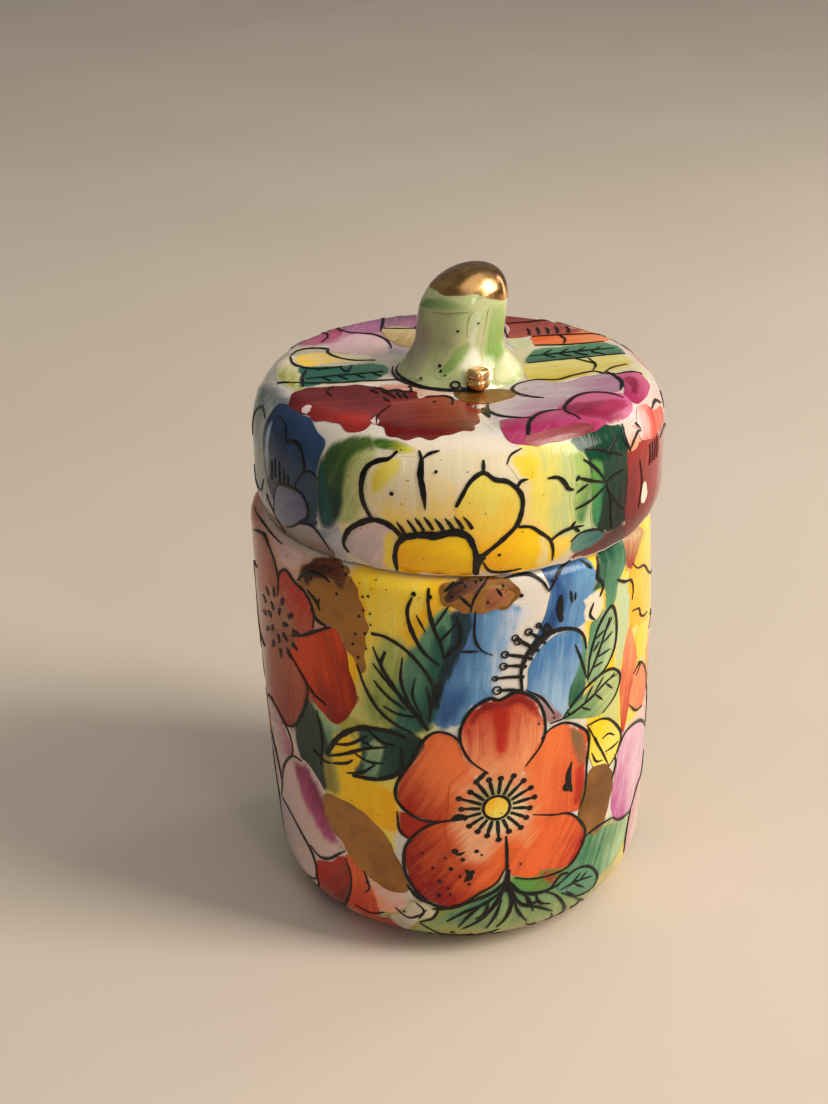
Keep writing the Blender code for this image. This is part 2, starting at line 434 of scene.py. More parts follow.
def wobbled(outline, amount, seed):
    """An outline with the small waver of a brushed edge."""
    forward = np.roll(outline, -1, axis=0) - np.roll(outline, 1, axis=0)
    forward /= np.hypot(*forward.T)[:, None] + 1e-9
    run = np.arange(len(outline)) * 2 * pi / len(outline)
    turns = max(3, len(outline) // 14)
    waver = np.sin(turns * run + seed) + 0.7 * np.sin((2 * turns + 1) * run + 2.3 * seed)
    return outline + np.stack([-forward[:, 1], forward[:, 0]], -1) * (waver * amount)[:, None]


class Patch:
    """What has been painted where, so that a later soft edge can fade into it."""

    def __init__(self, outline, dark, light, grade, soft):
        self.outline, self.dark, self.light = outline, np.array(dark), np.array(light)
        self.grade, self.soft = grade, soft
        self.low, self.high = outline.min(0), outline.max(0)

    def tone(self, points):
        """0 where the patch is dark and 1 where it is light."""
        if self.grade is None:
            return np.full(len(points), 0.5)
        start, end = np.asarray(self.grade[0], float), np.asarray(self.grade[1], float)
        return np.clip((points - start) @ (end - start) / ((end - start) ** 2).sum(), 0, 1)

    def paint_over(self, points, colours):
        near = ((points > self.low) & (points < self.high)).all(1)
        if not near.any():
            return
        here = points[near]
        inside, away = inside_and_away(here, self.outline)
        cover = np.where(inside, np.clip(away / self.soft, 0, 1) if self.soft else 1.0, 0.0)[:, None]
        tone = self.tone(here)[:, None]
        colours[near] = colours[near] * (1 - cover) + (self.dark * (1 - tone) + self.light * tone) * cover


PATCHES = []
FINIAL_GREEN = (0.52, 0.55, 0.26)
GOLD = (0.33, 0.15, 0.03)


def colour_beneath(points, surface):
    """Colours of a surface at some points, from the glaze and what is painted so far."""
    colours = np.tile(FINIAL_GREEN if surface is on_finial else GLAZE_WHITE, (len(points), 1))
    for painted_on, patch in PATCHES:
        if painted_on is surface:
            patch.paint_over(points, colours)
    return colours


class LayerOfPaint:
    """Points and faces that end up in one piece, with the values that enamel has at its points."""

    def __init__(self):
        self.points, self.faces, self.values, self.count = [], [], [], 0

    def add(self, points, faces, values=None):
        self.points.append(points)
        self.faces += [tuple(i + self.count for i in face) for face in faces]
        self.values.append(values)
        self.count += len(points)


class Painting:
    """Enamel, lines and gilding on part of a surface. Each kind becomes one piece that rides on a body."""

    def __init__(self, name, surface, body, start=0):
        self.name, self.surface, self.body, self.order = name, surface, body, start
        self.kinds = {"enamel": LayerOfPaint(), "lines": LayerOfPaint(), "gold": LayerOfPaint()}
        self.seed = sum(ord(letter) for letter in name) % 97

    def fill(self, outline, dark, light, grade=None, brush=90, soft=0.0, kind="enamel", ragged=0.07):
        """A patch of enamel inside a smooth outline. It goes from dark to light along grade, a pair of
        points, with brush marks at the angle brush. Its edge fades into the colour under it over the
        width soft, and wavers by ragged."""
        self.seed += 1
        outline = wobbled(smooth(outline, closed=True), ragged, self.seed)
        flat, triangles, away = triangulated(outline)
        count = len(flat)
        lift = FIRST_LAYER + LAYER * self.order
        self.order += 1
        points = np.concatenate([self.surface(flat, lift), self.surface(flat, SUNK)])
        edges = dict.fromkeys(edge for a, b, c in triangles for edge in ((a, b), (b, c), (c, a)))
        faces = list(triangles) + [(c + count, b + count, a + count) for a, b, c in triangles]
        faces += [(b, a, a + count, b + count) for a, b in edges if (b, a) not in edges]
        patch = Patch(outline, dark, light, grade, soft)
        tone = patch.tone(flat)
        turn = radians(brush)
        along = flat @ np.array([cos(turn), sin(turn)])
        across = flat @ np.array([-sin(turn), cos(turn)])
        cover = np.clip(away / soft, 0, 1) if soft else np.ones(count)
        under = colour_beneath(flat, self.surface) if soft else np.tile(GLAZE_WHITE, (count, 1))
        PATCHES.append((self.surface, patch))
        colours = np.tile((*dark, *light), (count, 1))
        strokes = np.full(count, self.seed * 7.3)
        values = np.column_stack([colours, under, tone, cover, along, across, strokes])
        self.kinds[kind].add(points, faces, np.concatenate([values, values]))

    def line(self, points, width, ends=(0.35, 0.35)):
        """A raised brush or pen line. ends are its widths at each end, as a share of width."""
        path = smooth(points, step=0.3)
        count = len(path)
        run = np.concatenate([[0], np.cumsum(np.hypot(*np.diff(path, axis=0).T))])
        share = run / run[-1]
        press = np.minimum(ends[0] + (1 - ends[0]) * np.clip(share / 0.4, 0, 1) ** 0.7,
                           ends[1] + (1 - ends[1]) * np.clip((1 - share) / 0.4, 0, 1) ** 0.7)
        press *= 1 + 0.10 * np.sin(run * 2.1 + self.seed) + 0.06 * np.sin(run * 5.3 + 2 * self.seed)
        self.seed += 1
        forward = np.gradient(path, axis=0)
        forward /= np.hypot(*forward.T)[:, None] + 1e-9
        side = np.stack([-forward[:, 1], forward[:, 0]], -1) * (press * width * PEN / 2)[:, None]
        low, high = LINE_LAYER, LINE_LAYER + 0.03
        section = [(path + side, low), (path + side * 0.55, high), (path - side * 0.55, high),
                   (path - side, low), (path, SUNK)]
        stations = np.stack([self.surface(where, lift) for where, lift in section], 1)
        sides = len(section)
        total = count * sides
        faces = [tuple(range(sides)), tuple(range(total - sides, total))[::-1]]
        for i in range(0, total - sides, sides):
            for j in range(sides):
                k = (j + 1) % sides
                faces.append((i + j, i + sides + j, i + sides + k, i + k))
        self.kinds["lines"].add(stations.reshape(-1, 3), faces)

    def dot(self, centre, radius):
        """A round drop of enamel."""
        sides = 10
        angle = all_round(sides)
        round_it = np.stack([np.cos(angle), np.sin(angle)], -1) * radius
        low = LINE_LAYER + 0.01
        middle = np.array([centre], float)
        heights = ((middle + round_it, low), (middle + round_it * 0.6, low + 0.04), (middle, low + 0.05),
                   (middle, SUNK))
        points = np.concatenate([self.surface(where, lift) for where, lift in heights])
        tip, foot = 2 * sides, 2 * sides + 1
        faces = []
        for i in range(sides):
            j = (i + 1) % sides
            faces += [(i, j, j + sides, i + sides), (i + sides, j + sides, tip), (j, i, foot)]
        self.kinds["lines"].add(points, faces)

    def ring(self, centre, radius, width):
        """A small drawn ring."""
        angle = np.linspace(0.3, 2 * pi + 0.3, 9)
        round_it = np.stack([np.cos(angle), np.sin(angle)], -1) * radius
        self.line(round_it + centre, width, (1, 1))

    def finish(self, materials):
        """Make a piece of each kind. The columns of the enamel's values go into the attributes that
        painted_enamel reads."""
        for kind, layer in self.kinds.items():
            if not layer.count:
                continue
            piece = finish_mesh(f"{self.name}_{kind}", np.concatenate(layer.points), layer.faces, self.body,
                                [materials[kind]], sharp=60)
            if kind != "enamel":
                continue
            values = np.concatenate(layer.values)
            for title, column in (("dark", 0), ("light", 3), ("under", 6)):
                colours = np.concatenate([values[:, column:column + 3], np.ones((len(values), 1))], 1)
                attribute = piece.data.attributes.new(title, "FLOAT_COLOR", "POINT")
                attribute.data.foreach_set("color", colours.astype(np.float32).ravel())
            for title, column in (("tone", 9), ("cover", 10)):
                attribute = piece.data.attributes.new(title, "FLOAT", "POINT")
                attribute.data.foreach_set("value", values[:, column].astype(np.float32))
            attribute = piece.data.attributes.new("stroke", "FLOAT_VECTOR", "POINT")
            attribute.data.foreach_set("vector", values[:, 11:14].astype(np.float32).ravel())


# ---------------------------------------------------------------- finial

def place_finial(angle, height, radius):
    """World points of the finial: height above the lid, radius before pinching. It is pinched into soft
    facets by hand and its tip leans to the right."""
    grip = np.clip(height / 3, 0, 1) * np.clip((FINIAL_HEIGHT + 1 - height) / 6, 0, 1)
    pinch = 1 + grip * (0.030 * np.cos(5 * angle + 0.5) + 0.012 * np.cos(2 * angle - 0.6))
    foot = np.clip(1 - height / 2, 0, 1)
    spread = 1 + foot * (0.035 * np.cos(angle - 1.0) + 0.012 * np.sin(7 * angle))
    radius = radius * pinch * spread
    lean = 0.1 + FINIAL_LEAN * np.clip(height / FINIAL_HEIGHT, 0, 1.05) ** 3
    base = LID_HEIGHT - LID_DISH
    return place_lid(np.stack([radius * np.sin(angle) + lean, -radius * np.cos(angle), base + height], -1))


def make_finial(glaze):
    """Rings from under its foot up to the tip, close together over the dome."""
    stem = np.linspace(FINIAL_ROOT, DOME_START, 31)[:-1]
    dome = dome_height(np.linspace(1, 0.02, 30))
    heights = np.concatenate([stem, dome])
    profile = [(FINIAL_ROOT, 0.4), (FINIAL_ROOT, STEM_RADIUS), *zip(heights, finial_radius(heights))]
    angle = all_round(FINIAL_AROUND)
    rows = [place_finial(angle, np.full(FINIAL_AROUND, height), radius) for height, radius in profile]
    finial = revolved("finial", rows, "lid", [glaze], [0] * len(rows))
    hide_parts("finial")


def make_finial_gilding(gilding):
    """Bright gold over the tip, with an uneven brushed edge."""
    angle = all_round(FINIAL_AROUND)
    edge = (9.8 + 0.7 * np.cos(angle + 0.5) - 0.25 * np.sin(angle) + 0.22 * np.cos(3 * angle - 0.6)
            + 0.14 * np.sin(5 * angle + 1.2) + 0.06 * np.sin(11 * angle))
    start = np.sqrt(1 - ((edge - DOME_START) / DOME_HEIGHT) ** DOME_POWER)
    share = np.linspace(0, 1, 26)
    rows = []
    for lift, steps in ((0.05, share), (-0.06, share[::-1])):
        for part in steps:
            height = dome_height(start * (1 - part) + 0.02 * part)
            slope = np.clip((height - DOME_START) / DOME_HEIGHT, 0, 1)
            radius = finial_radius(height) + lift * (1 - 0.6 * slope)
            rows.append(place_finial(angle, height + lift * slope, radius))
    revolved("finial_gilding", rows, "lid", [gilding], [0] * len(rows))


def make_bud(gilding):
    """A small gilded double bead pressed on at the finial's foot."""
    low, high = (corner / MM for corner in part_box("finial_bud"))
    middle = (low + high) / 2
    angle = all_round(BUD_AROUND)
    rows = []
    for turn in np.linspace(-0.48 * pi, 0.48 * pi, 26):
        height = BUD_RADIUS * sin(turn)
        waist = 1 - 0.15 * np.exp(-(height / 0.26) ** 2)
        corners = 1 + 0.05 * np.cos(4 * angle) + 0.02 * np.cos(3 * angle + 2 * turn)
        radius = BUD_RADIUS * cos(turn) ** 0.32 * waist * corners
        x = middle.x - 0.2 + radius * np.sin(angle) * 1.08
        y = middle.y + 0.32 - radius * np.cos(angle)
        rows.append(np.stack([x, y, np.full(BUD_AROUND, middle.z - 0.02 + height)], -1) * MM)
    bud = revolved("finial_bud_gilded", rows, "lid", [gilding], [0] * len(rows))
    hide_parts("finial_bud")


# ---------------------------------------------------------------- materials

class Graph:
    """A material's node tree, with short calls for the nodes that the finishes use."""

    def __init__(self, name):
        self.material = bpy.data.materials.new(name)
        self.material.use_nodes = True
        self.tree = self.material.node_tree
        self.tree.nodes.clear()
        output = self.tree.nodes.new("ShaderNodeOutputMaterial")
        self.shader = self.tree.nodes.new("ShaderNodeBsdfPrincipled")
        self.tree.links.new(self.shader.outputs["BSDF"], output.inputs["Surface"])
        self.place = self.tree.nodes.new("ShaderNodeTexCoord").outputs["Object"]

    def put(self, value, socket):
        if isinstance(value, bpy.types.NodeSocket):
            self.tree.links.new(value, socket)
        elif isinstance(value, tuple) and len(value) == 3 and socket.type == "RGBA":
            socket.default_value = (*value, 1.0)
        else:
            socket.default_value = value

    def attribute(self, name, output="Fac"):
        node = self.tree.nodes.new("ShaderNodeAttribute")
        node.attribute_name = name
        return node.outputs[output]

    def scaled(self, vector, factors):
        node = self.tree.nodes.new("ShaderNodeVectorMath")
        node.operation = "MULTIPLY"
        self.put(vector, node.inputs[0])
        self.put(factors, node.inputs[1])
        return node.outputs[0]

    def noise(self, vector, scale, detail, distortion=0.0):
        node = self.tree.nodes.new("ShaderNodeTexNoise")
        self.put(vector, node.inputs["Vector"])
        node.inputs["Scale"].default_value = scale
        node.inputs["Detail"].default_value = detail
        node.inputs["Distortion"].default_value = distortion
        return node.outputs["Fac"]

    def map(self, value, low, high, to_low=0.0, to_high=1.0):
        node = self.tree.nodes.new("ShaderNodeMapRange")
        node.interpolation_type = "SMOOTHSTEP"
        for socket, number in zip(node.inputs, (value, low, high, to_low, to_high)):
            self.put(number, socket)
        return node.outputs["Result"]

    def maths(self, operation, a, b, clamp=False):
        node = self.tree.nodes.new("ShaderNodeMath")
        node.operation = operation
        node.use_clamp = clamp
        self.put(a, node.inputs[0])
        self.put(b, node.inputs[1])
        return node.outputs[0]

    def mix(self, factor, a, b):
        node = self.tree.nodes.new("ShaderNodeMix")
        node.data_type = "RGBA"
        self.put(factor, node.inputs["Factor"])
        self.put(a, node.inputs[6])
        self.put(b, node.inputs[7])
        return node.outputs[2]

    def bump(self, height, distance):
        node = self.tree.nodes.new("ShaderNodeBump")
        node.inputs["Distance"].default_value = distance
        self.put(height, node.inputs["Height"])
        self.put(node.outputs["Normal"], self.shader.inputs["Normal"])

    def set(self, **values):
        for name, value in values.items():
            self.put(value, self.shader.inputs[name.replace("_", " ")])


def white_glaze():
    """Clear glossy glaze over slightly uneven white porcelain, with grey grime and iron specks."""
    g = Graph("white_glaze")
    cloud = g.map(g.noise(g.place, 130, 3), 0.35, 0.7)
    colour = g.mix(cloud, GLAZE_WHITE, (0.66, 0.62, 0.56))
    warm = g.map(g.noise(g.place, 60, 2), 0.5, 0.75)
    colour = g.mix(g.maths("MULTIPLY", warm, 0.5), colour, (0.76, 0.64, 0.50))
    speck = g.map(g.noise(g.place, 1500, 1), 0.74, 0.80)
    colour = g.mix(speck, colour, (0.16, 0.11, 0.07))
    g.set(Base_Color=colour, Roughness=g.map(g.noise(g.place, 300, 2), 0.3, 0.7, 0.10, 0.20), IOR=1.5)
    g.shader.inputs["Coat Weight"].default_value = 0.3
    g.shader.inputs["Coat Roughness"].default_value = 0.06
    g.bump(g.noise(g.place, 420, 2), 0.00006)
    return g.material


def bare_porcelain():
    """Unglazed bisque: dry, fine grained and slightly stained."""
    g = Graph("bare_porcelain")
    stain = g.map(g.noise(g.place, 220, 4), 0.4, 0.72)
    colour = g.mix(stain, (0.78, 0.74, 0.67), (0.55, 0.47, 0.37))
    g.set(Base_Color=colour, Roughness=g.map(g.noise(g.place, 900, 2), 0.3, 0.7, 0.55, 0.75))
    g.bump(g.noise(g.place, 3500, 3), 0.00004)
    return g.material


def painted_enamel():
    """Brushed enamel. Each patch carries its two colours, tone, brush direction and cover as attributes."""
    g = Graph("painted_enamel")
    stroke = g.attribute("stroke", "Vector")
    streak = g.noise(g.scaled(stroke, (0.12, 1.1, 1.0)), 1.0, 2, 0.3)
    bristle = g.noise(g.scaled(stroke, (0.30, 5.0, 1.0)), 1.0, 2)
    pool = g.noise(g.place, 230, 3)
    tone = g.maths("ADD", g.attribute("tone"), g.map(streak, 0.25, 0.75, -0.22, 0.22))
    tone = g.maths("ADD", tone, g.map(bristle, 0.25, 0.75, -0.14, 0.14))
    tone = g.maths("ADD", tone, g.map(pool, 0.25, 0.75, -0.18, 0.18), clamp=True)
    colour = g.mix(tone, g.attribute("dark", "Color"), g.attribute("light", "Color"))
    thin = g.maths("MULTIPLY", g.map(streak, 0.55, 0.75), g.map(bristle, 0.45, 0.75))
    colour = g.mix(g.maths("MULTIPLY", thin, 0.05), colour, GLAZE_WHITE)
    grime = g.map(g.noise(g.place, 1700, 2), 0.70, 0.76)
    colour = g.mix(g.maths("MULTIPLY", grime, 0.8), colour, (0.05, 0.025, 0.012))
    cover = g.maths("ADD", g.attribute("cover"), g.map(bristle, 0.3, 0.7, -0.10, 0.10))
    cover = g.map(g.maths("ADD", cover, g.map(streak, 0.3, 0.7, -0.16, 0.16)), 0.0, 0.9)
    colour = g.mix(cover, g.attribute("under", "Color"), colour)
    g.set(Base_Color=colour, Roughness=g.map(pool, 0.3, 0.7, 0.12, 0.24), IOR=1.5)
    g.shader.inputs["Specular IOR Level"].default_value = 0.22
    g.bump(g.maths("ADD", streak, g.maths("MULTIPLY", bristle, 0.4)), 0.00004)
    return g.material


def black_outline():
    """Dull overglaze black, brownish where it is thin."""
    g = Graph("black_outline")
    thin = g.map(g.noise(g.place, 500, 3), 0.50, 0.75)
    colour = g.mix(thin, (0.004, 0.004, 0.004), (0.022, 0.014, 0.010))
    g.set(Base_Color=colour, Roughness=g.map(g.noise(g.place, 800, 2), 0.3, 0.7, 0.28, 0.45))
    g.shader.inputs["Specular IOR Level"].default_value = 0.25
    g.bump(g.noise(g.place, 1200, 2), 0.00003)
    return g.material


def worn_lustre_and_dark_reflection():
    """Thin gold lustre, rubbed dull and dirty. Its dark brown is partly the worn lustre and partly painted
    dark reflection.
    """
    g = Graph("worn_lustre_and_dark_reflection")
    wear = g.noise(g.place, 700, 4)
    broad = g.noise(g.place, 160, 2)
    # dark brown base: the worn lustre's own tone, darkened as a painted reflection of dark surroundings
    colour = g.mix(g.map(broad, 0.35, 0.65), (0.21, 0.080, 0.012), (0.35, 0.150, 0.028))
    colour = g.mix(g.maths("MULTIPLY", g.map(wear, 0.5, 0.72), 0.45), colour, (0.20, 0.08, 0.025))
    dirt = g.map(g.noise(g.place, 1500, 3), 0.64, 0.72)
    colour = g.mix(g.maths("MULTIPLY", dirt, 0.6), colour, (0.06, 0.035, 0.02))
    g.set(Base_Color=colour, Metallic=g.map(wear, 0.4, 0.65, 0.6, 0.35),
          Roughness=g.map(wear, 0.3, 0.7, 0.26, 0.42))
    g.bump(wear, 0.00005)
    return g.material


def bright_gilding():
    """Burnished gold with fine rubs."""
    g = Graph("bright_gilding")
    rub = g.noise(g.place, 500, 4)
    colour = g.mix(g.map(rub, 0.3, 0.7), (0.46, 0.22, 0.075), (0.66, 0.37, 0.15))
    pit = g.map(g.noise(g.place, 1400, 2), 0.66, 0.74)
    colour = g.mix(g.maths("MULTIPLY", pit, 0.7), colour, (0.12, 0.06, 0.02))
    g.set(Base_Color=colour, Metallic=1.0, Roughness=g.map(rub, 0.3, 0.7, 0.17, 0.30))
    g.bump(g.noise(g.place, 350, 3), 0.00012)
    return g.material


def bead_gilding_painted_bright():
    """Paler gold on the bead: painted highlight, lighter than the finial's gilding so that the bead looks
    lit.
    """
    g = Graph("bead_gilding_painted_bright")
    rub = g.noise(g.place, 900, 3)
    # lighter gold than the finial's gilding: a painted highlight over the whole bead
    colour = g.mix(g.map(rub, 0.3, 0.7), (0.80, 0.42, 0.14), (0.95, 0.68, 0.33))
    g.set(Base_Color=colour, Metallic=1.0, Roughness=g.map(rub, 0.3, 0.7, 0.22, 0.34))
    g.bump(rub, 0.00008)
    return g.material


def green_glaze():
    """Pale yellow-green glaze on the finial, deeper green where it has pooled."""
    g = Graph("green_glaze")
    pool = g.noise(g.scaled(g.place, (1.0, 1.0, 0.55)), 330, 3, 0.6)
    colour = g.mix(g.map(pool, 0.35, 0.65), FINIAL_GREEN, (0.46, 0.54, 0.22))
    milky = g.map(g.noise(g.place, 170, 2), 0.45, 0.65)
    colour = g.mix(g.maths("MULTIPLY", milky, 0.5), colour, (0.66, 0.60, 0.42))
    deep = g.map(g.noise(g.place, 420, 3, 0.5), 0.58, 0.74)
    colour = g.mix(g.maths("MULTIPLY", deep, 0.55), colour, (0.20, 0.32, 0.08))
    g.set(Base_Color=colour, Roughness=g.map(pool, 0.3, 0.7, 0.10, 0.20), IOR=1.5)
    g.shader.inputs["Coat Weight"].default_value = 0.15
    g.shader.inputs["Coat Roughness"].default_value = 0.06
    g.bump(g.noise(g.place, 420, 2), 0.00012)
    return g.material


def floor_finish():
    """Plain pale matt surface, faintly mottled."""
    g = Graph("floor")
    colour = g.mix(g.map(g.noise(g.place, 9, 2), 0.3, 0.7), (0.64, 0.54, 0.44), (0.67, 0.57, 0.47))
    g.set(Base_Color=colour, Roughness=0.85)
    return g.material


# ---------------------------------------------------------------- enamel colours

BRICK = (0.32, 0.035, 0.016)
SALMON = (0.52, 0.135, 0.065)
BLOOD = (0.26, 0.010, 0.006)
RED = (0.50, 0.024, 0.008)
ORANGE = (0.78, 0.13, 0.028)
PALE_ORANGE = (0.84, 0.27, 0.10)
AMBER = (0.92, 0.43, 0.006)
YELLOW = (0.95, 0.59, 0.010)
LEMON = (0.84, 0.68, 0.12)
CREAM = (0.78, 0.67, 0.46)
OLIVE = (0.30, 0.31, 0.04)
MOSS = (0.12, 0.20, 0.03)
PINE = (0.008, 0.045, 0.032)
TEAL = (0.018, 0.10, 0.068)
SAGE = (0.10, 0.25, 0.14)
LEAF = (0.10, 0.28, 0.05)
PALE_GREEN = (0.44, 0.54, 0.26)
NAVY = (0.008, 0.024, 0.062)
BLUE = (0.028, 0.10, 0.27)
SKY = (0.14, 0.31, 0.52)
PALE_BLUE = (0.44, 0.57, 0.69)
PLUM = (0.14, 0.03, 0.09)
MAGENTA = (0.30, 0.014, 0.085)
ROSE = (0.45, 0.115, 0.20)
LILAC = (0.52, 0.42, 0.44)
MAUVE = (0.40, 0.19, 0.28)
BLUSH = (0.74, 0.52, 0.47)
GREY_LILAC = (0.44, 0.38, 0.39)
CRIMSON = (0.16, 0.009, 0.009)
GREY_BEIGE = (0.42, 0.36, 0.30)


def around(centre, radius, count, start=0.0):
    """Unit directions round a centre, with the points at that radius."""
    for i in range(count):
        turn = start + 2 * pi * i / count
        yield (centre[0] + radius * cos(turn), centre[1] + radius * sin(turn)), (cos(turn), sin(turn))


def stamens(p, centre, inner, outer, count, start, width, head):
    """Round-headed stamens from an inner circle out to about an outer one."""
    for (x, y), (dx, dy) in around(centre, inner, count, start):
        reach = (outer - inner) * (0.86 + 0.14 * sin(7 * dx + 5 * dy))
        tip = (x + dx * reach, y + dy * reach)
        p.line([(x, y), (x + dx * reach * 0.5, y + dy * reach * 0.5 + 0.05), tip], width, (0.8, 0.5))
        p.dot(tip, head)


# ---------------------------------------------------------------- motifs on the front of the jar

def jar_front_ground(paint):
    """Ground colours under the front motifs."""
    p = Painting("jar_front_ground", on_jar, "jar", -4)
    p.fill([(-13, 55), (-6, 55.1), (0.4, 54.6), (0.6, 50), (-1, 44), (-2, 38), (-3, 33), (-9, 32), (-14, 33),
            (-15, 40), (-13.6, 47)], (0.90, 0.50, 0.012), (0.60, 0.56, 0.16), ((-9, 47), (-9, 35)), 90, 1.4)
    p.order = -4
    p.fill([(14, 54.6), (20, 55), (27, 54.8), (33, 54.4), (38, 52), (40, 44), (38, 34), (32, 27), (24, 26),
            (17, 26), (14.6, 33), (14.4, 40), (14.6, 48)], YELLOW, CREAM, ((22, 36), (38, 44)), 85, 1.8)
    p.order = -3.5
    p.fill([(-42, 54.6), (-30, 54.9), (-16, 54.8), (-13, 50), (-14, 40), (-16, 32), (-24, 27.6), (-34, 28),
            (-42, 32), (-43, 44)], (0.40, 0.12, 0.07), (0.62, 0.36, 0.26), ((-20, 30), (-24, 53)), 60, 1.8)
    p.order = -3
    p.fill([(-44, 31), (-34, 30), (-24, 28), (-16.6, 22), (-15.8, 14), (-20, 8), (-28, 2), (-38, -0.6),
            (-44, 4), (-46, 18)], LILAC, BLUSH, ((-40, 6), (-26, 22)), 60, 1.8)
    p.order = -2
    p.fill([(-19, 34.6), (-12, 35), (-6, 34.4), (-6.6, 27), (-8, 20), (-9, 16), (-16, 17), (-18.6, 22),
            (-20, 28)], OLIVE, LEMON, ((-19, 32), (-11, 24)), 90, 1.2)
    p.order = -4
    p.fill([(-10, 9), (-4, 10), (4, 13), (14, 14.6), (20, 16), (25, 14), (30, 6), (38, 1), (40, -4),
            (20, -4.6), (0, -4.6), (-12, -4.4), (-13, 3)], OLIVE, (0.60, 0.50, 0.24), ((10, 10), (12, -2)),
            80, 1.5)
    p.order = -3
    p.fill([(21, 27.4), (32, 28), (42, 27), (46, 16), (44, 4), (36, -1), (28, 3), (24.6, 12), (20.6, 15)],
            PALE_GREEN, BLUSH, ((24, 8), (36, 18)), 70, 1.8)
    p.order = -1
    p.fill([(-40, 54.6), (-30, 54.9), (-20, 54.6), (-19, 52), (-22, 49.4), (-28, 48.6), (-33, 45), (-38, 44),
            (-41, 48)], (0.52, 0.08, 0.028), (0.66, 0.36, 0.25), ((-35, 46), (-24, 52)), 50, 1.8)
    p.order = -3
    p.fill([(-2.8, 34.4), (-3.4, 38), (-2.4, 43), (-1.4, 48), (-0.2, 50.4), (0.5, 48), (0, 44), (-1, 39),
            (-1.4, 35)], (0.008, 0.035, 0.03), PINE, ((-2, 36), (0, 50)), 80, 0.8)
    p.finish(paint)


def jar_anemone(paint):
    """Brick-red flower at the upper left."""
    p = Painting("jar_anemone", on_jar, "jar")
    p.fill([(-36, 54.6), (-28, 54.4), (-21, 54.2), (-19.5, 53), (-21, 51.3), (-24, 51.5), (-27, 53.2),
            (-33, 53.4)], SALMON, BLUSH, ((-36, 53), (-20, 53)), 0, 0.8)
    p.fill([(-33.5, 49.5), (-32, 51.8), (-28.5, 52.7), (-26, 51.8), (-24.9, 50.3), (-24.6, 48.3), (-25, 46),
            (-27, 45), (-31, 45.5), (-33, 47)], BRICK, SALMON, ((-27, 52), (-29, 45)), 70)
    p.fill([(-29, 39), (-31.5, 37), (-35, 38), (-37, 42), (-35.5, 46), (-32, 47), (-29, 45.5), (-28, 42)],
            (0.26, 0.045, 0.03), (0.52, 0.18, 0.11), ((-37, 42), (-29, 42)), 0)
    p.fill([(-25, 43.5), (-24.6, 47.5), (-24.4, 49.4), (-22.8, 50.6), (-21, 49.8), (-19.2, 49.2),
            (-18.1, 47.3), (-18.2, 45), (-19.8, 43.6), (-22.3, 42.3)], RED, SALMON, ((-20, 49), (-24, 43)),
            60)
    p.fill([(-29, 38.5), (-30.5, 34), (-29.5, 30), (-27, 28.2), (-24.2, 29), (-21.6, 32), (-20.1, 35.4),
            (-20.6, 37.6), (-23, 40.2), (-26, 40.5)], BRICK, SALMON, ((-22, 30), (-27, 40)), 80)
    p.fill([(-22.4, 42.4), (-20, 43.4), (-18, 44.6), (-15.5, 46), (-14, 44.5), (-13.2, 41), (-12.5, 38),
            (-13.5, 35), (-15.5, 33), (-18, 34), (-20, 36), (-21.5, 38), (-23, 40)], (0.24, 0.008, 0.002),
            (0.70, 0.060, 0.006), ((-12.5, 36), (-20, 42)), 100)
    p.fill([(-29.6, 43), (-28.6, 46.4), (-25.6, 47.6), (-22.4, 46.2), (-21, 43), (-22.4, 40), (-25.4, 38.4),
            (-28.6, 39.6)], (0.32, 0.085, 0.045), (0.50, 0.21, 0.12), ((-22, 40), (-28, 46)), 30, 0.9)
    for count, radius, start in ((7, 1.5, 0.3), (12, 3.4, 0.1)):
        for (x, y), (dx, dy) in around((-25.4, 42.8), radius, count, start):
            p.line([(x, y), (x + 0.55 * dx, y + 0.55 * dy), (x + 1.25 * dx, y + 1.15 * dy)], 0.75, (1, 0.15))
    p.line([(-33, 51.8), (-30, 52.8), (-28, 53), (-26, 52), (-24.9, 50.4), (-24.6, 48.5), (-24.9, 46.6)], 0.6)
    p.line([(-24.6, 48), (-24.2, 49.8), (-22.6, 50.9), (-21, 50), (-19.1, 49.2), (-18, 47.2), (-18.2, 45)],
            0.5)
    p.line([(-22.4, 42.4), (-20, 43.4), (-18, 44.6), (-15.5, 46)], 0.5)
    p.line([(-23.4, 40.4), (-21, 38), (-19, 36), (-17, 35.1)], 0.5)
    p.line([(-22.5, 39.5), (-20.5, 37.5), (-20, 35.5), (-21.5, 32), (-24, 29), (-27, 28)], 0.45)
    p.line([(-31, 36.8), (-35, 37.8), (-37.2, 42), (-35.6, 46.2), (-32, 47.2)], 0.5)
    p.line([(-36, 53.5), (-30, 53.9), (-24, 53.6)], 0.3)
    p.finish(paint)


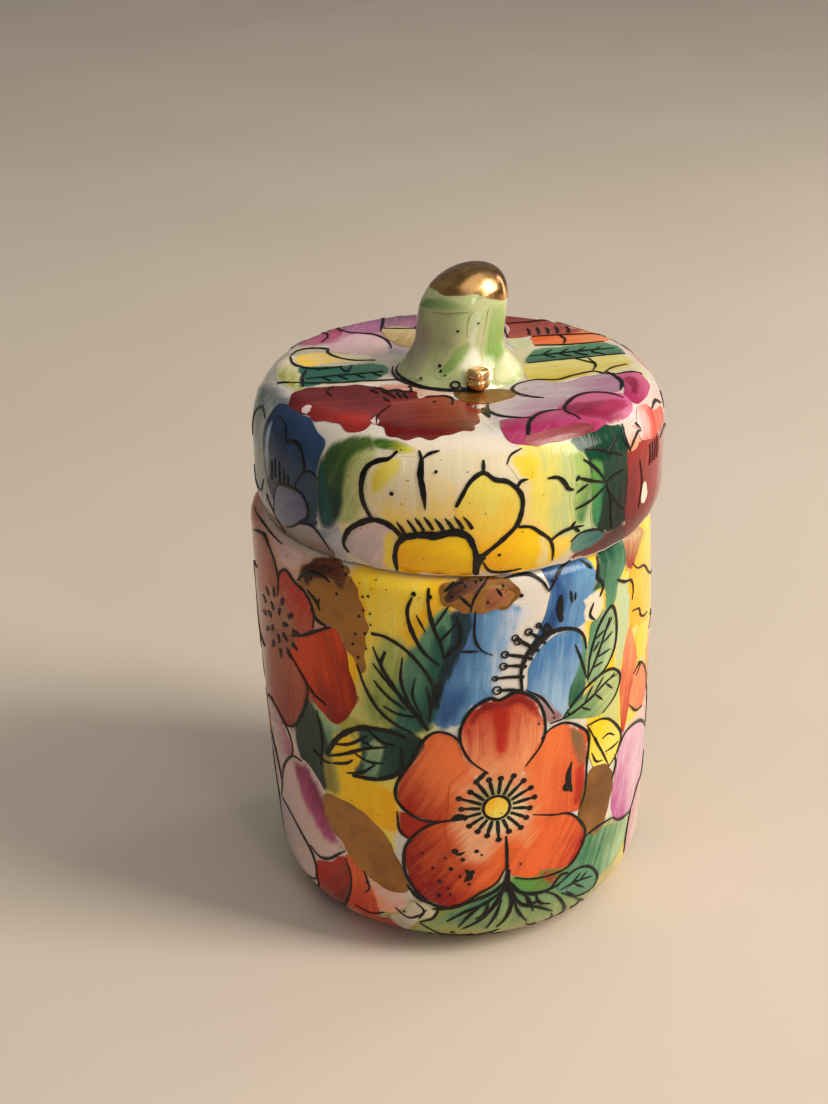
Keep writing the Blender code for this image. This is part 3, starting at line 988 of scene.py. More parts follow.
def jar_sprigs(paint):
    """Green sprigs on yellow between the two upper flowers."""
    p = Painting("jar_sprigs", on_jar, "jar")
    p.fill([(-12.5, 54.5), (-8, 54.9), (-3, 54.4), (-2.2, 52), (-4.4, 49), (-6.4, 46), (-7.1, 42),
            (-8.4, 39.4), (-11.6, 39.6), (-12, 44), (-11.4, 50)], YELLOW, LEMON, ((-12.4, 54), (-8, 40)), 90,
            1.6)
    p.fill([(-11.4, 44), (-9.6, 47.4), (-7, 47.6), (-5, 45), (-5, 38), (-6.6, 33.6), (-11, 33.8), (-12.6, 37),
            (-12, 41)], (0.20, 0.27, 0.06), (0.50, 0.50, 0.13), ((-6, 39), (-11, 44)), 75, 2.2)
    p.fill([(-1, 51), (0.6, 49), (0.4, 46), (-1.6, 43.6), (-2, 40), (-2.6, 36), (-3.6, 34.2), (-6, 33.1),
            (-8.6, 33.4), (-8.2, 37), (-7.6, 41), (-6.6, 44.6), (-5.4, 46.4), (-4, 48.4), (-2.5, 50.6)],
            (0.02, 0.10, 0.075), SAGE, ((-2, 40), (-6.4, 44)), 70, 1.1)
    p.fill([(-3.4, 47), (-1.4, 48.6), (-0.8, 45), (-1.8, 41), (-2.6, 36.6), (-4.2, 34.4), (-5.6, 35.4),
            (-4.6, 40)], (0.012, 0.06, 0.045), TEAL, ((-3, 35), (-3, 46)), 80, 1.1)
    p.fill([(-13.6, 42.8), (-12.2, 43.2), (-11.8, 40.8), (-12.6, 39), (-14, 39.8)], AMBER, YELLOW, soft=0.5)
    p.fill([(-1, 50.2), (1.2, 50.2), (1.5, 48.4), (0.9, 46), (-0.1, 43.8), (-1.2, 41.4), (-2.2, 39),
            (-2.9, 37), (-3.9, 37), (-3.5, 40.2), (-2.4, 43.6), (-1.4, 47)], (0.004, 0.012, 0.014),
            (0.010, 0.035, 0.05), ((-3, 40), (0, 49)), 84, 0.55)
    for x, y in ((-11.3, 52.6), (-10.3, 51.2), (-11, 49.3), (-10.2, 47.6), (-11, 46.3), (-9.4, 53.3),
                 (-10.9, 44.4), (-10.2, 49), (-9.9, 52.2), (-11, 51)):
        p.dot((x, y), 0.12 + 0.05 * sin(9 * x))
    p.line([(-10.2, 46.5), (-8.4, 46.3), (-6.2, 45), (-4.2, 42.6), (-3, 40), (-2.6, 37.6)], 0.5, (0.9, 0.3))
    p.line([(-10.1, 44.8), (-9.4, 43), (-8.2, 40.6), (-6.8, 38.4), (-5.2, 36.4), (-4, 34.6)], 0.62,
            (0.3, 0.8))
    p.line([(-8.6, 44.4), (-9.2, 42.8), (-9, 41.6)], 0.5, (0.9, 0.4))
    p.line([(-10.2, 42.6), (-8.8, 40.8), (-7.2, 38.8)], 0.4)
    p.line([(-10.2, 40.4), (-8.6, 38.6), (-6.4, 37)], 0.44)
    p.line([(-9.2, 37.2), (-7.4, 36.4), (-5.4, 36.2)], 0.4)
    p.line([(-6.6, 44), (-6.9, 41), (-6.2, 38.4), (-5, 36.4)], 0.46)
    p.line([(-5.2, 41.4), (-5.6, 39), (-4.6, 36.2)], 0.36)
    p.line([(-4, 40.4), (-3.6, 38), (-3.8, 35.6)], 0.36)
    p.line([(-5.2, 51.8), (-5.8, 50), (-5.4, 47.6), (-4.2, 45), (-2.4, 43.2)], 0.6, (0.5, 0.4))
    p.line([(-3.3, 53), (-3.4, 51), (-3, 48.4), (-2.2, 46), (-1.8, 44)], 0.56, (0.5, 0.4))
    p.line([(-4.8, 49.6), (-3.8, 47.4)], 0.34)
    p.line([(-1.2, 50.8), (-2.8, 48.2)], 0.36)
    p.line([(-0.4, 48.6), (-2.4, 46.2)], 0.36)
    p.line([(0.2, 46.4), (-1.8, 44.2)], 0.36)
    p.line([(-12.2, 42), (-11.2, 39), (-9.6, 36.4), (-7.5, 34.8), (-5.6, 34)], 0.5)
    p.dot((-5, 52.2), 0.3)
    p.dot((-3.2, 52), 0.3)
    p.finish(paint)


def jar_gold_leaf_top(paint):
    """Worn gold leaf with a rusty upper end."""
    p = Painting("jar_gold_leaf_top", on_jar, "jar", 8)
    p.fill([(-20, 50.5), (-19.4, 52.6), (-17.6, 54.2), (-15, 54.6), (-13.2, 54), (-12, 52), (-11, 50),
            (-10.8, 47), (-11, 44), (-11.8, 40.8), (-13, 43), (-14, 45), (-15.5, 46.1), (-17, 45.8),
            (-18.2, 47.5), (-18.8, 49.4)], GOLD, GOLD, kind="gold", ragged=0.2)
    p.fill([(-19.7, 51.4), (-19, 53.4), (-16.6, 54.7), (-14, 54.4), (-12.4, 53), (-13.4, 51.4), (-15.4, 52),
            (-17.4, 51), (-18.6, 50.2)], (0.035, 0.012, 0.008), (0.17, 0.05, 0.026), ((-18, 52), (-14, 54)),
            10, 0.5, ragged=0.25)
    p.line([(-20.4, 50.4), (-19, 51.8), (-17, 52.4), (-15.2, 51.9)], 0.6)
    p.line([(-18.4, 47.6), (-17.6, 46.4), (-16.2, 45.9)], 0.5)
    p.line([(-18.8, 49.8), (-17.4, 48.6), (-17, 47.6)], 0.5)
    for x, y in ((-17, 49), (-13.2, 53.2), (-16.2, 53.4), (-12, 43), (-14.4, 50.6), (-18, 51.4), (-12.2, 46),
                 (-17.2, 48.6), (-12.6, 44.6), (-11.6, 48.4), (-15.4, 53.2), (-14, 53.9)):
        p.dot((x, y), 0.18)
    p.finish(paint)


def jar_left_leaves(paint):
    """Dark leaf, yellow ground and a veined grey leaf at the left of the poppy."""
    p = Painting("jar_left_leaves", on_jar, "jar", 2.5)
    p.fill([(-19.5, 34.6), (-16, 33.8), (-14.8, 32), (-16, 28.5), (-17.6, 27.6), (-19, 30)], SAGE, PALE_GREEN,
            ((-18, 30), (-15, 33)), 90, 0.8)
    p.fill([(-20.5, 34.8), (-19, 34.1), (-17.4, 32), (-16.8, 29), (-17, 26), (-17.8, 22.3), (-20, 22),
            (-22.6, 23.4), (-23.8, 27.4), (-23, 31.6)], (0.006, 0.03, 0.022), (0.03, 0.06, 0.035),
            ((-20, 23), (-18, 34)), 95, 0.6)
    p.fill([(-16.5, 31.5), (-13.5, 32.2), (-11.8, 30), (-12, 27), (-9.6, 26.4), (-8, 25), (-7.7, 22),
            (-8.6, 18.9), (-12, 20), (-15, 21.2), (-17.8, 22), (-18.2, 25.5), (-17, 28)], AMBER, YELLOW,
            ((-9, 21), (-15, 27)), 90, 0.9)
    p.fill([(-18.2, 27.8), (-16.6, 28.6), (-15.6, 26), (-15.8, 22.6), (-18, 22), (-18.9, 25)],
            (0.20, 0.17, 0.03), (0.46, 0.38, 0.07), ((-18.8, 25), (-15.6, 26)), 90, 1.1)
    p.fill([(-13.5, 26.7), (-12.6, 29.6), (-12.4, 33.4), (-9, 34.4), (-5.6, 34.2), (-4.2, 32.8), (-5.4, 30.2),
            (-7.3, 28), (-10, 26.7)], (0.006, 0.026, 0.020), (0.020, 0.08, 0.055), ((-6, 31), (-11, 31)), 55,
            0.5)
    p.fill([(-12.6, 27), (-12, 30), (-10.6, 32.6), (-9.2, 32), (-9.6, 29), (-10.4, 27)], SAGE, PALE_GREEN,
            ((-12, 26), (-10, 34)), 65, 0.7)
    p.line([(-17.6, 28), (-15.4, 31.2), (-12.4, 33.4), (-9, 33.9), (-6.6, 33.2)], 0.8, (0.9, 0.5))
    p.line([(-7.2, 31.8), (-7.5, 28.6), (-10, 26.9), (-13.8, 26.3)], 0.66, (0.5, 0.8))
    p.line([(-17.4, 27.8), (-14.5, 29.2), (-11.6, 30.8), (-9, 31.6)], 0.56)
    p.line([(-16, 30), (-13.8, 30.8), (-11.4, 32.6)], 0.5)
    p.line([(-16.8, 27), (-14.6, 27.8), (-13.6, 28.6)], 0.5)
    p.line([(-13.2, 29.6), (-11.4, 29), (-9.6, 29.2)], 0.44)
    p.line([(-12.6, 31.8), (-10.6, 31.2)], 0.44)
    p.line([(-14.6, 26.4), (-12.4, 27.2), (-10.6, 28.8)], 0.5)
    p.line([(-11.4, 33.6), (-9.6, 32.2), (-8, 32)], 0.44)
    p.line([(-18.6, 33.8), (-18.2, 30), (-18.8, 26)], 0.36)
    p.line([(-20, 27.6), (-18.4, 26.8), (-17, 26.9)], 0.5)
    p.finish(paint)


def jar_gold_leaf_low(paint):
    """Gold leaf at the lower left of the poppy."""
    p = Painting("jar_gold_leaf_low", on_jar, "jar", 10)
    p.fill([(-19, 20.5), (-18.4, 21.8), (-15.5, 22.1), (-12.3, 21), (-10.1, 18.9), (-8.8, 16), (-7.8, 13.5),
            (-7.2, 11), (-8.8, 10), (-11, 10.5), (-13.5, 11.9), (-15.4, 13.7), (-16.5, 15.5), (-18.2, 17),
            (-19, 18.8)], GOLD, GOLD, kind="gold")
    p.finish(paint)


def jar_pink_left(paint):
    """Pink flower at the lower left."""
    p = Painting("jar_pink_left", on_jar, "jar", 1)
    p.fill([(-33.5, 28.4), (-30, 29.4), (-26.8, 28.5), (-25, 26.8), (-24.9, 24.9), (-26, 23.4), (-29, 21.6),
            (-32.6, 22.4), (-34.6, 25.4)], ROSE, BLUSH, ((-25.5, 27), (-31, 24)), 30)
    p.fill([(-36.6, 21.6), (-33.6, 22.4), (-31.2, 20), (-30, 16.6), (-31.4, 14.4), (-35, 14.4), (-38, 17)],
            ROSE, BLUSH, ((-37, 20), (-31, 17)), 20)
    p.fill([(-28.6, 30.2), (-25.2, 29), (-23.6, 26.6), (-24.6, 24.4), (-25.6, 26)], BLUSH, CREAM, soft=0.6)
    p.fill([(-31, 14.5), (-29.6, 18), (-28, 21), (-25, 23.9), (-22.5, 24.4), (-20.5, 22.9), (-18.8, 20.6),
            (-17.8, 17), (-16.2, 14.6), (-17, 13.5), (-19, 11.8), (-21, 11.2), (-23, 11.7), (-26, 13.5),
            (-29, 14.1)], BLUSH, BLUSH, ((-30, 15), (-20, 18)), 60)
    p.fill([(-25.6, 24.2), (-22.4, 25), (-19.6, 23.4), (-17.8, 20.6), (-16.8, 17), (-15.6, 14), (-18.4, 13.6),
            (-21.4, 15), (-23.6, 18), (-25.6, 21.4)], (0.20, 0.010, 0.06), (0.48, 0.08, 0.20),
            ((-19, 22), (-23, 17.6)), 60, 1.9)
    p.fill([(-35, 9), (-33.4, 12.6), (-31, 14), (-28, 14), (-25, 12.5), (-22.8, 10.5), (-22.2, 8.4),
            (-23, 6.4), (-25.5, 5.3), (-30, 5), (-34, 6)], LILAC, BLUSH, ((-33, 12), (-24, 7)), 30)
    p.fill([(-40, 5), (-36, 5.4), (-30, 4.6), (-27.8, 2.8), (-29, 1), (-34, 0), (-39, 0.6)], LILAC, BLUSH,
            ((-36, 1), (-30, 4)), 10)
    p.line([(-25.9, 23.3), (-24.7, 25), (-25, 27), (-26.8, 28.7), (-30, 29.6), (-33.4, 28.6)], 0.5)
    p.line([(-31.2, 14.6), (-29.6, 18.2), (-28, 21.1), (-25, 24.1), (-22.6, 24.6)], 0.5)
    p.line([(-31, 14.3), (-28, 14.1), (-25, 12.6), (-22.8, 10.7), (-22.1, 8.4), (-22.9, 6.3), (-25.5, 5.1)],
            0.55)
    p.line([(-22.8, 11.8), (-21, 11), (-19, 11.7), (-17, 13.4), (-16, 14.2)], 0.5)
    p.line([(-33.4, 12.8), (-35.4, 9), (-34, 5.8)], 0.5)
    p.line([(-36.6, 21.8), (-33.6, 22.6), (-31, 20), (-29.9, 16.8)], 0.45)
    p.line([(-36, 0.2), (-31, 1), (-28.4, 2.2), (-27.4, 3.4)], 0.45)
    p.finish(paint)


def jar_red_low(paint):
    """Red flower that runs under the jar at the lower left."""
    p = Painting("jar_red_low", on_jar, "jar", 4)
    p.fill([(-40, -0.5), (-33, -0.4), (-28, 1.2), (-24, 3.6), (-22.4, 6.4), (-21.6, 9.8), (-19, 11.2),
            (-17, 12.8), (-15.9, 13), (-15.5, 10), (-16.4, 6.4), (-19, 2.8), (-23, -0.8), (-28, -3.4),
            (-36, -4.2)], CRIMSON, RED, ((-20, 2), (-24, 6)), 50)
    p.fill([(-16, 13.8), (-13.8, 13), (-12.2, 11.6), (-11.6, 8.4), (-12.2, 5), (-15, 3.4), (-17.6, 4.2),
            (-16.6, 7), (-15.6, 10)], RED, ORANGE, ((-16, 5), (-12, 12)), 80)
    p.fill([(-13, 11.6), (-10.4, 10.9), (-8, 10.2), (-7.4, 8.4), (-9, 6.6), (-11.4, 6.2), (-12.4, 8.6)],
            PALE_ORANGE, BLUSH, ((-12, 7), (-8, 10)), 40, 0.5)
    p.fill([(-26, -2.6), (-20, 1), (-16.5, 3.4), (-12.4, 5), (-9.6, 5.4), (-8.4, 3), (-8, -1), (-10, -4.2),
            (-18, -4.6)], BRICK, ORANGE, ((-10, 0), (-20, -2)), 60, 0.5)
    # grey-beige wash on the jar's lower rounding, darker towards its lower left
    p.fill([(-10.6, 5.8), (-9, 7), (-7, 9), (-4.4, 8.8), (-4, 7), (-6, 5.6), (-8, 3), (-8.6, 0), (-9.8, 2.6)],
            GREY_BEIGE, CREAM, ((-9, 5), (-5, 8)), 60, 0.7)
    p.line([(-16, 13), (-15.5, 10), (-16.5, 6.5), (-19, 3), (-23, -0.5), (-28, -3)], 0.5)
    p.line([(-22.2, 8.2), (-22.8, 5.2), (-26, 2.2), (-31, 0), (-37, -0.6)], 0.5)
    p.line([(-13.4, 12.2), (-12.8, 9.8), (-13.6, 8.6)], 0.35)
    p.line([(-11, 6.2), (-13.4, 5), (-15.6, 5.6)], 0.35)
    p.line([(-9.4, 7.6), (-7.8, 6.2), (-6.4, 6.8), (-5.2, 8)], 0.4)
    p.line([(-6.6, 9), (-5.6, 7.8), (-6.4, 6.2)], 0.4)
    p.dot((-13, 10.4), 0.25)
    p.dot((-8.2, 7.2), 0.2)
    p.dot((-4.8, 6.4), 0.2)
    p.finish(paint)


def jar_poppy(paint):
    """Big orange poppy at the middle of the front."""
    p = Painting("jar_poppy", on_jar, "jar")
    glow = (0.80, 0.165, 0.042)
    p.fill([(-7.8, 26.6), (-6, 30), (-4.5, 33), (-3, 34.2), (-1, 33.6), (0, 31.5), (1, 29), (1.6, 26),
            (1, 23.4), (-0.6, 22), (-3.5, 21.7), (-6, 22.2), (-7.8, 24)], (0.42, 0.022, 0.008), glow,
            ((-7.9, 24), (-3.4, 29)), 60)
    p.fill([(-8.2, 22.6), (-6.4, 22), (-4.4, 21.6), (-4.8, 20.4), (-6.6, 18.8), (-7.8, 19.6)],
            (0.34, 0.016, 0.008), RED, ((-8, 20), (-5, 22)), 20)
    p.fill([(4.8, 18.6), (4.9, 14.5), (3.5, 12), (1, 10.5), (-1, 9), (-3, 8.7), (-5.5, 10), (-7.3, 13),
            (-7.5, 16), (-7, 18), (-5, 20.5), (-2.5, 21.7), (0, 21.6), (3, 20.4)], (0.30, 0.010, 0.005),
            ORANGE, ((-5, 11), (3.4, 16.5)), 50)
    p.fill([(3.6, 27.6), (1.8, 28), (0.2, 30), (-0.3, 34), (1, 37), (3, 38.5), (4.3, 38.3), (6.5, 38.9),
            (8.6, 37.3), (9.6, 34.3), (9.2, 31.3), (7.5, 28.6), (5.6, 27)], (0.46, 0.022, 0.009),
            (0.86, 0.30, 0.125), ((3, 37.6), (4.5, 28)), 88)
    p.fill([(2.6, 37.9), (4.3, 38.2), (5.8, 37.6), (5.9, 34), (5.2, 31), (4.1, 29.2), (3.1, 31), (2.6, 35)],
            (0.38, 0.015, 0.006), RED, ((4, 37), (4, 30)), 88, 1.5)
    p.fill([(0.4, 36), (2.2, 38.3), (4.3, 38.2), (6.5, 38.9), (8.6, 37.3), (9.3, 34.6), (8, 35.6),
            (6.6, 37.2), (4.6, 36.8), (2.6, 36.6), (1, 34.8)], (0.13, 0.006, 0.005), (0.32, 0.016, 0.008),
            ((5, 39), (5, 36)), 10, 0.7)
    p.fill([(5, 19.6), (4.9, 14.5), (6, 12.6), (8, 11.9), (11, 11.6), (13.5, 12), (15.3, 14), (15.7, 16),
            (14.5, 18.5), (13, 20), (10, 20.8), (7.6, 21)], (0.36, 0.012, 0.006), ORANGE,
            ((15.4, 13), (10.4, 16)), 60)
    p.fill([(9.2, 31.9), (10.5, 32.8), (12.5, 33), (14.5, 31.8), (15.9, 30), (15.6, 26), (15.5, 22),
            (14.8, 20), (13, 19.9), (11, 20.4), (8.2, 21.1), (6.8, 24), (7.2, 28)], (0.62, 0.075, 0.02), glow,
            ((15.6, 24), (9.4, 25)), 84)
    p.fill([(13, 32.7), (14.6, 31.6), (15.8, 30), (15.9, 26.4), (14.8, 25.4), (14, 27.4), (13.2, 30)],
            (0.16, 0.12, 0.045), (0.34, 0.10, 0.04), ((15.4, 31), (13.8, 27)), 84, 0.7)
    p.fill([(14, 26), (15.7, 26.4), (15.6, 22), (14.9, 20.4), (13.6, 20.6), (13.6, 23)], (0.40, 0.018, 0.008),
            RED, ((15.4, 21), (13.8, 26)), 84, 0.8)
    p.fill([(3.4, 31.4), (6, 30), (8.6, 27.6), (9.4, 23.6), (9.8, 19.6), (7.6, 16.4), (5, 17), (2.6, 14.4),
            (-1, 15.4), (-2.4, 19.6), (-2, 23.6), (-1.6, 27), (0.6, 29.4)], (0.74, 0.24, 0.09),
            (0.84, 0.42, 0.22), ((8, 27), (-1, 16)), 45, 3.0)
    p.fill([(3.7, 27.9), (5.6, 27.3), (7.1, 25.8), (8, 23.5), (7.2, 21.1), (5.8, 19.5), (3.8, 18.9),
            (1.7, 19.5), (0.3, 21), (-0.5, 23.4), (0.2, 25.9), (1.7, 27.3)], (0.52, 0.30, 0.13),
            (0.80, 0.62, 0.36), ((0, 26), (6, 20)), 45, 1.7)
    p.fill([(1.2, 26), (3.7, 26.9), (6, 25.8), (6.6, 23.4), (5.8, 21.2), (3.6, 20.2), (1.6, 21.2),
            (0.8, 23.4)], (0.34, 0.30, 0.10), (0.72, 0.66, 0.36), ((1, 25), (6, 21)), 45, 1.3)
    p.fill([(3.7, 25), (4.8, 24.5), (5.3, 23.4), (4.8, 22.3), (3.7, 21.8), (2.6, 22.3), (2.1, 23.4),
            (2.6, 24.5)], (0.84, 0.42, 0.01), LEMON, ((2.5, 24.6), (5, 22.4)), 90, ragged=0.02)
    stamens(p, (3.7, 23.4), 1.95, 4.75, 19, 0.12, 0.56, 0.4)
    p.line([(3.7 + 1.62 * cos(t), 23.4 + 1.68 * sin(t)) for t in np.linspace(0, 2 * pi, 13)], 0.46, (1, 1))
    p.line([(2.8, 28.4), (0.5, 30.8), (-0.4, 34), (0.8, 37.1), (3, 38.7), (4.3, 38.4), (6.5, 39.1),
            (8.8, 37.4), (9.8, 34.3), (9.4, 31.5), (7.2, 28.6)], 0.54)
    p.line([(2.6, 28.8), (1.8, 27.9), (1.2, 27.4)], 0.7, (0.4, 0.9))
    p.line([(9.3, 32), (10.6, 33.1), (12.5, 33.3), (14.6, 32), (16.1, 30), (15.8, 26), (15.6, 22),
            (14.8, 20)], 0.5)
    p.line([(8.2, 21.4), (11, 20.5), (13, 20), (14.6, 18.5), (15.9, 16.1), (15.4, 13.9), (13.6, 11.8),
            (11, 11.4), (8, 11.7), (5.9, 12.4)], 0.48)
    p.line([(4.8, 19), (4.9, 16), (4.9, 13.2)], 0.5, (0.7, 0.8))
    p.line([(4.6, 14), (3.5, 12), (1, 10.4), (-1, 8.9), (-3, 8.5), (-5.6, 9.8), (-7.5, 13), (-7.7, 16),
            (-7.1, 18.1), (-5, 20.6), (-2.5, 21.8), (-0.4, 22)], 0.52)
    p.line([(-0.4, 22.2), (-3.5, 21.6), (-6, 22.1), (-8, 24), (-8, 26.6), (-6.1, 30.1), (-4.6, 33.1),
            (-3, 34.4), (-1, 33.8), (0.2, 31.6)], 0.54)
    p.line([(-1.8, 21.9), (-0.8, 22.4), (0.2, 22.3)], 1.1, (0.3, 0.8))
    p.line([(-8.2, 22.6), (-8, 19.8), (-6.8, 18.6)], 0.44)
    p.line([(-7.6, 11.6), (-6.4, 10), (-4.8, 9)], 0.7)
    for x, y, r in ((-1.4, 17.3, 0.42), (-0.5, 16, 0.3), (-2, 14.6, 0.3), (0.6, 14, 0.34), (0.2, 13.2, 0.46),
                    (-3.4, 12.6, 0.25), (-0.9, 13.4, 0.2), (-2.6, 16.2, 0.18), (1.2, 17.2, 0.3),
                    (-4.2, 14.6, 0.2), (0.2, 12.2, 0.22), (-2.2, 10.6, 0.2), (-3.6, 10.4, 0.3),
                    (-2.4, 11.6, 0.16), (12.9, 25.4, 0.3), (6.6, 14.4, 0.16), (-5.4, 16.8, 0.16),
                    (1.8, 16.6, 0.18)):
        p.dot((x, y), r)
    p.line([(13.5, 27.4), (13, 25.4), (13.5, 23)], 0.9, (0.25, 0.35))
    p.line([(13.1, 25), (12.5, 23.9), (13.3, 23.4)], 0.7, (0.6, 0.4))
    p.line([(-0.2, 14.4), (0.4, 13.4), (-0.4, 12.6)], 0.7, (0.5, 0.4))
    p.line([(-1.6, 17.6), (-1, 16.8), (-0.2, 17.2)], 0.5)
    p.finish(paint)


def jar_blue_flower(paint):
    """Blue flower with ringed stamens at the top of the front."""
    p = Painting("jar_blue_flower", on_jar, "jar")
    p.fill([(-0.6, 49.6), (0, 50.4), (3, 50.6), (6, 50.6), (6.8, 49.6), (5.4, 46), (4.2, 42), (3.2, 38.8),
            (1, 37.5), (-0.6, 35.3), (-3, 35), (-3.6, 37), (-2.6, 41), (-2, 45)], BLUE, SKY,
            ((-2.4, 44), (4, 42)), 84)
    p.fill([(-3.4, 36.8), (-2.6, 39.6), (-0.4, 41.4), (1.4, 40.6), (1.2, 38), (-0.8, 35.2), (-2.8, 34.8)],
            (0.014, 0.05, 0.17), (0.040, 0.13, 0.30), ((-2.4, 35.4), (0, 40.4)), 80, 1.7)
    p.fill([(2.6, 50.2), (8.4, 50.4), (7.2, 47), (5.8, 43), (4.6, 39.6), (2.4, 40), (2.2, 46)], SKY,
            (0.60, 0.63, 0.70), ((2.6, 45), (6.4, 44)), 84, 1.7)
    p.fill([(10, 54.6), (13, 54.8), (16, 54), (17.2, 50.4), (16, 47.4), (14.5, 45.7), (12, 46.2),
            (10.5, 45.8), (9, 44.2), (7.8, 43), (8.2, 45), (9.6, 48), (10.6, 51)], BLUE, SKY,
            ((10, 50), (16, 49)), 78)
    p.fill([(10.4, 53.2), (12, 53.4), (13, 50), (11.8, 46.8), (10, 45.4), (8.8, 44.8), (9.8, 47.6),
            (10.7, 50.6)], (0.012, 0.05, 0.17), BLUE, ((10, 50), (13, 50)), 80, 0.9)
    p.fill([(7.8, 44.2), (9.2, 46.4), (10.4, 47.4), (11.2, 46), (9.6, 44.8), (8.2, 43)], (0.004, 0.012, 0.02),
            (0.02, 0.05, 0.11), ((8, 43.6), (11, 47)), 40, 0.35)
    p.fill([(7.6, 38.4), (7.9, 42), (9.4, 44.6), (11.5, 45.6), (14, 45.2), (15, 43), (14.1, 40), (13.1, 37.4),
            (12.6, 34.9), (11, 34.1), (9.9, 36), (8.8, 38)], (0.06, 0.19, 0.40), (0.30, 0.46, 0.62),
            ((8.2, 42), (12.6, 35.6)), 82)
    p.fill([(15, 49.2), (17.8, 49.4), (18.3, 47), (16.5, 45.7), (15, 46.4), (15.2, 48)], CREAM, GLAZE_WHITE,
            soft=0.3)
    p.fill([(7.4, 39), (9.4, 38.4), (11.2, 36), (12.4, 34.4), (10.6, 33.4), (9.4, 34.8), (8.8, 37.2)],
            (0.30, 0.12, 0.12), GREY_LILAC, ((9, 35), (9, 38.5)), 70, 0.6)
    for a, b, r in (((4, 39.7), (6.9, 39.2), 0.5), ((3.8, 41.3), (7.2, 41), 0.3),
                    ((4.8, 42.8), (7.5, 42.3), 0.42), ((5, 44.3), (8.2, 43.2), 0.4),
                    ((6.5, 45.8), (9, 44.1), 0.42), ((6.2, 46.3), (8.2, 44.6), 0.38),
                    ((7.8, 46.8), (9.8, 44.9), 0.42), ((9, 47.4), (10.3, 45.7), 0.3),
                    ((10, 47.2), (11, 45.9), 0.25)):
        p.line([a, ((a[0] + b[0]) / 2, (a[1] + b[1]) / 2 + 0.12), b], 0.5, (0.55, 1))
        p.ring(a, r, 0.24)
    p.line([(7, 38.6), (6.9, 42), (8.3, 44.9), (10.7, 46.2), (13.5, 45.8), (15, 44.4), (15.5, 42.5)], 0.66)
    p.line([(1.8, 50.2), (1.6, 47), (2.3, 45.2), (3.6, 44.4)], 0.36)
    p.line([(0, 45.1), (2, 45)], 0.32)
    p.line([(-0.3, 49.6), (0.1, 47.6), (-0.1, 45.6)], 0.5)
    p.line([(5.3, 53.8), (8, 53.9), (9.5, 52.9), (10.3, 51.6)], 0.5)
    p.line([(10.3, 51.4), (12, 53.4), (14.4, 54.4)], 0.42)
    p.line([(15.4, 53.8), (16.4, 52.6)], 0.5)
    p.line([(11.9, 50.6), (11.7, 48.8), (11.9, 47.2)], 1.0, (0.5, 0.6))
    p.line([(13.2, 50.8), (13.4, 49.2)], 0.4)
    p.line([(13.9, 50.4), (13.8, 49.4)], 0.3)
    p.line([(16.6, 48.2), (16, 46.8), (16.8, 45.8)], 0.5)
    p.line([(7.4, 39.2), (9.4, 37.6), (11, 35)], 0.4)
    p.dot((7, 51.6), 0.26)
    p.dot((11, 52.6), 0.3)
    for x, y in ((9, 34.2), (11, 34.5), (13, 34.4)):
        p.dot((x, y), 0.15)
    p.finish(paint)


def jar_gold_top(paint):
    """Gold dab, rusty where it is worn, at the top of the front."""
    p = Painting("jar_gold_top", on_jar, "jar", 10)
    p.fill([(-2, 52.5), (-0.8, 54), (3, 54.5), (6.2, 53.5), (6.4, 51.4), (5, 50), (2.5, 50.1), (0, 50.1),
            (-1.6, 50.9)], GOLD, GOLD, kind="gold", ragged=0.25)
    p.fill([(2.4, 50.4), (3.2, 52.6), (5.2, 53), (6, 51.8), (5, 50.4)], (0.24, 0.07, 0.028),
            (0.42, 0.15, 0.07), ((3, 51), (5.6, 52)), 30, 0.5, ragged=0.2)
    p.fill([(-1.9, 52.4), (-0.8, 53.9), (1, 54.2), (3.4, 54.2), (3, 53), (1.6, 52), (-0.2, 51.6),
            (-1.2, 51.2)], (0.05, 0.02, 0.012), (0.20, 0.08, 0.04), ((-1, 53), (2, 52)), 30, 0.4, ragged=0.2)
    p.line([(1.2, 50), (1.8, 52), (3.6, 54.2)], 0.36)
    p.line([(0, 52.2), (1.4, 50.6)], 0.46)
    p.line([(4.2, 52.8), (4.8, 51.8)], 0.4)
    p.line([(-1.6, 52.6), (-0.6, 53.4), (0.6, 53.6)], 0.5)
    for x, y in ((-0.8, 52), (0.8, 53.2), (3.2, 51.2), (5, 53), (2, 53.6), (-0.6, 53.6), (2.6, 53.8)):
        p.dot((x, y), 0.18)
    p.finish(paint)


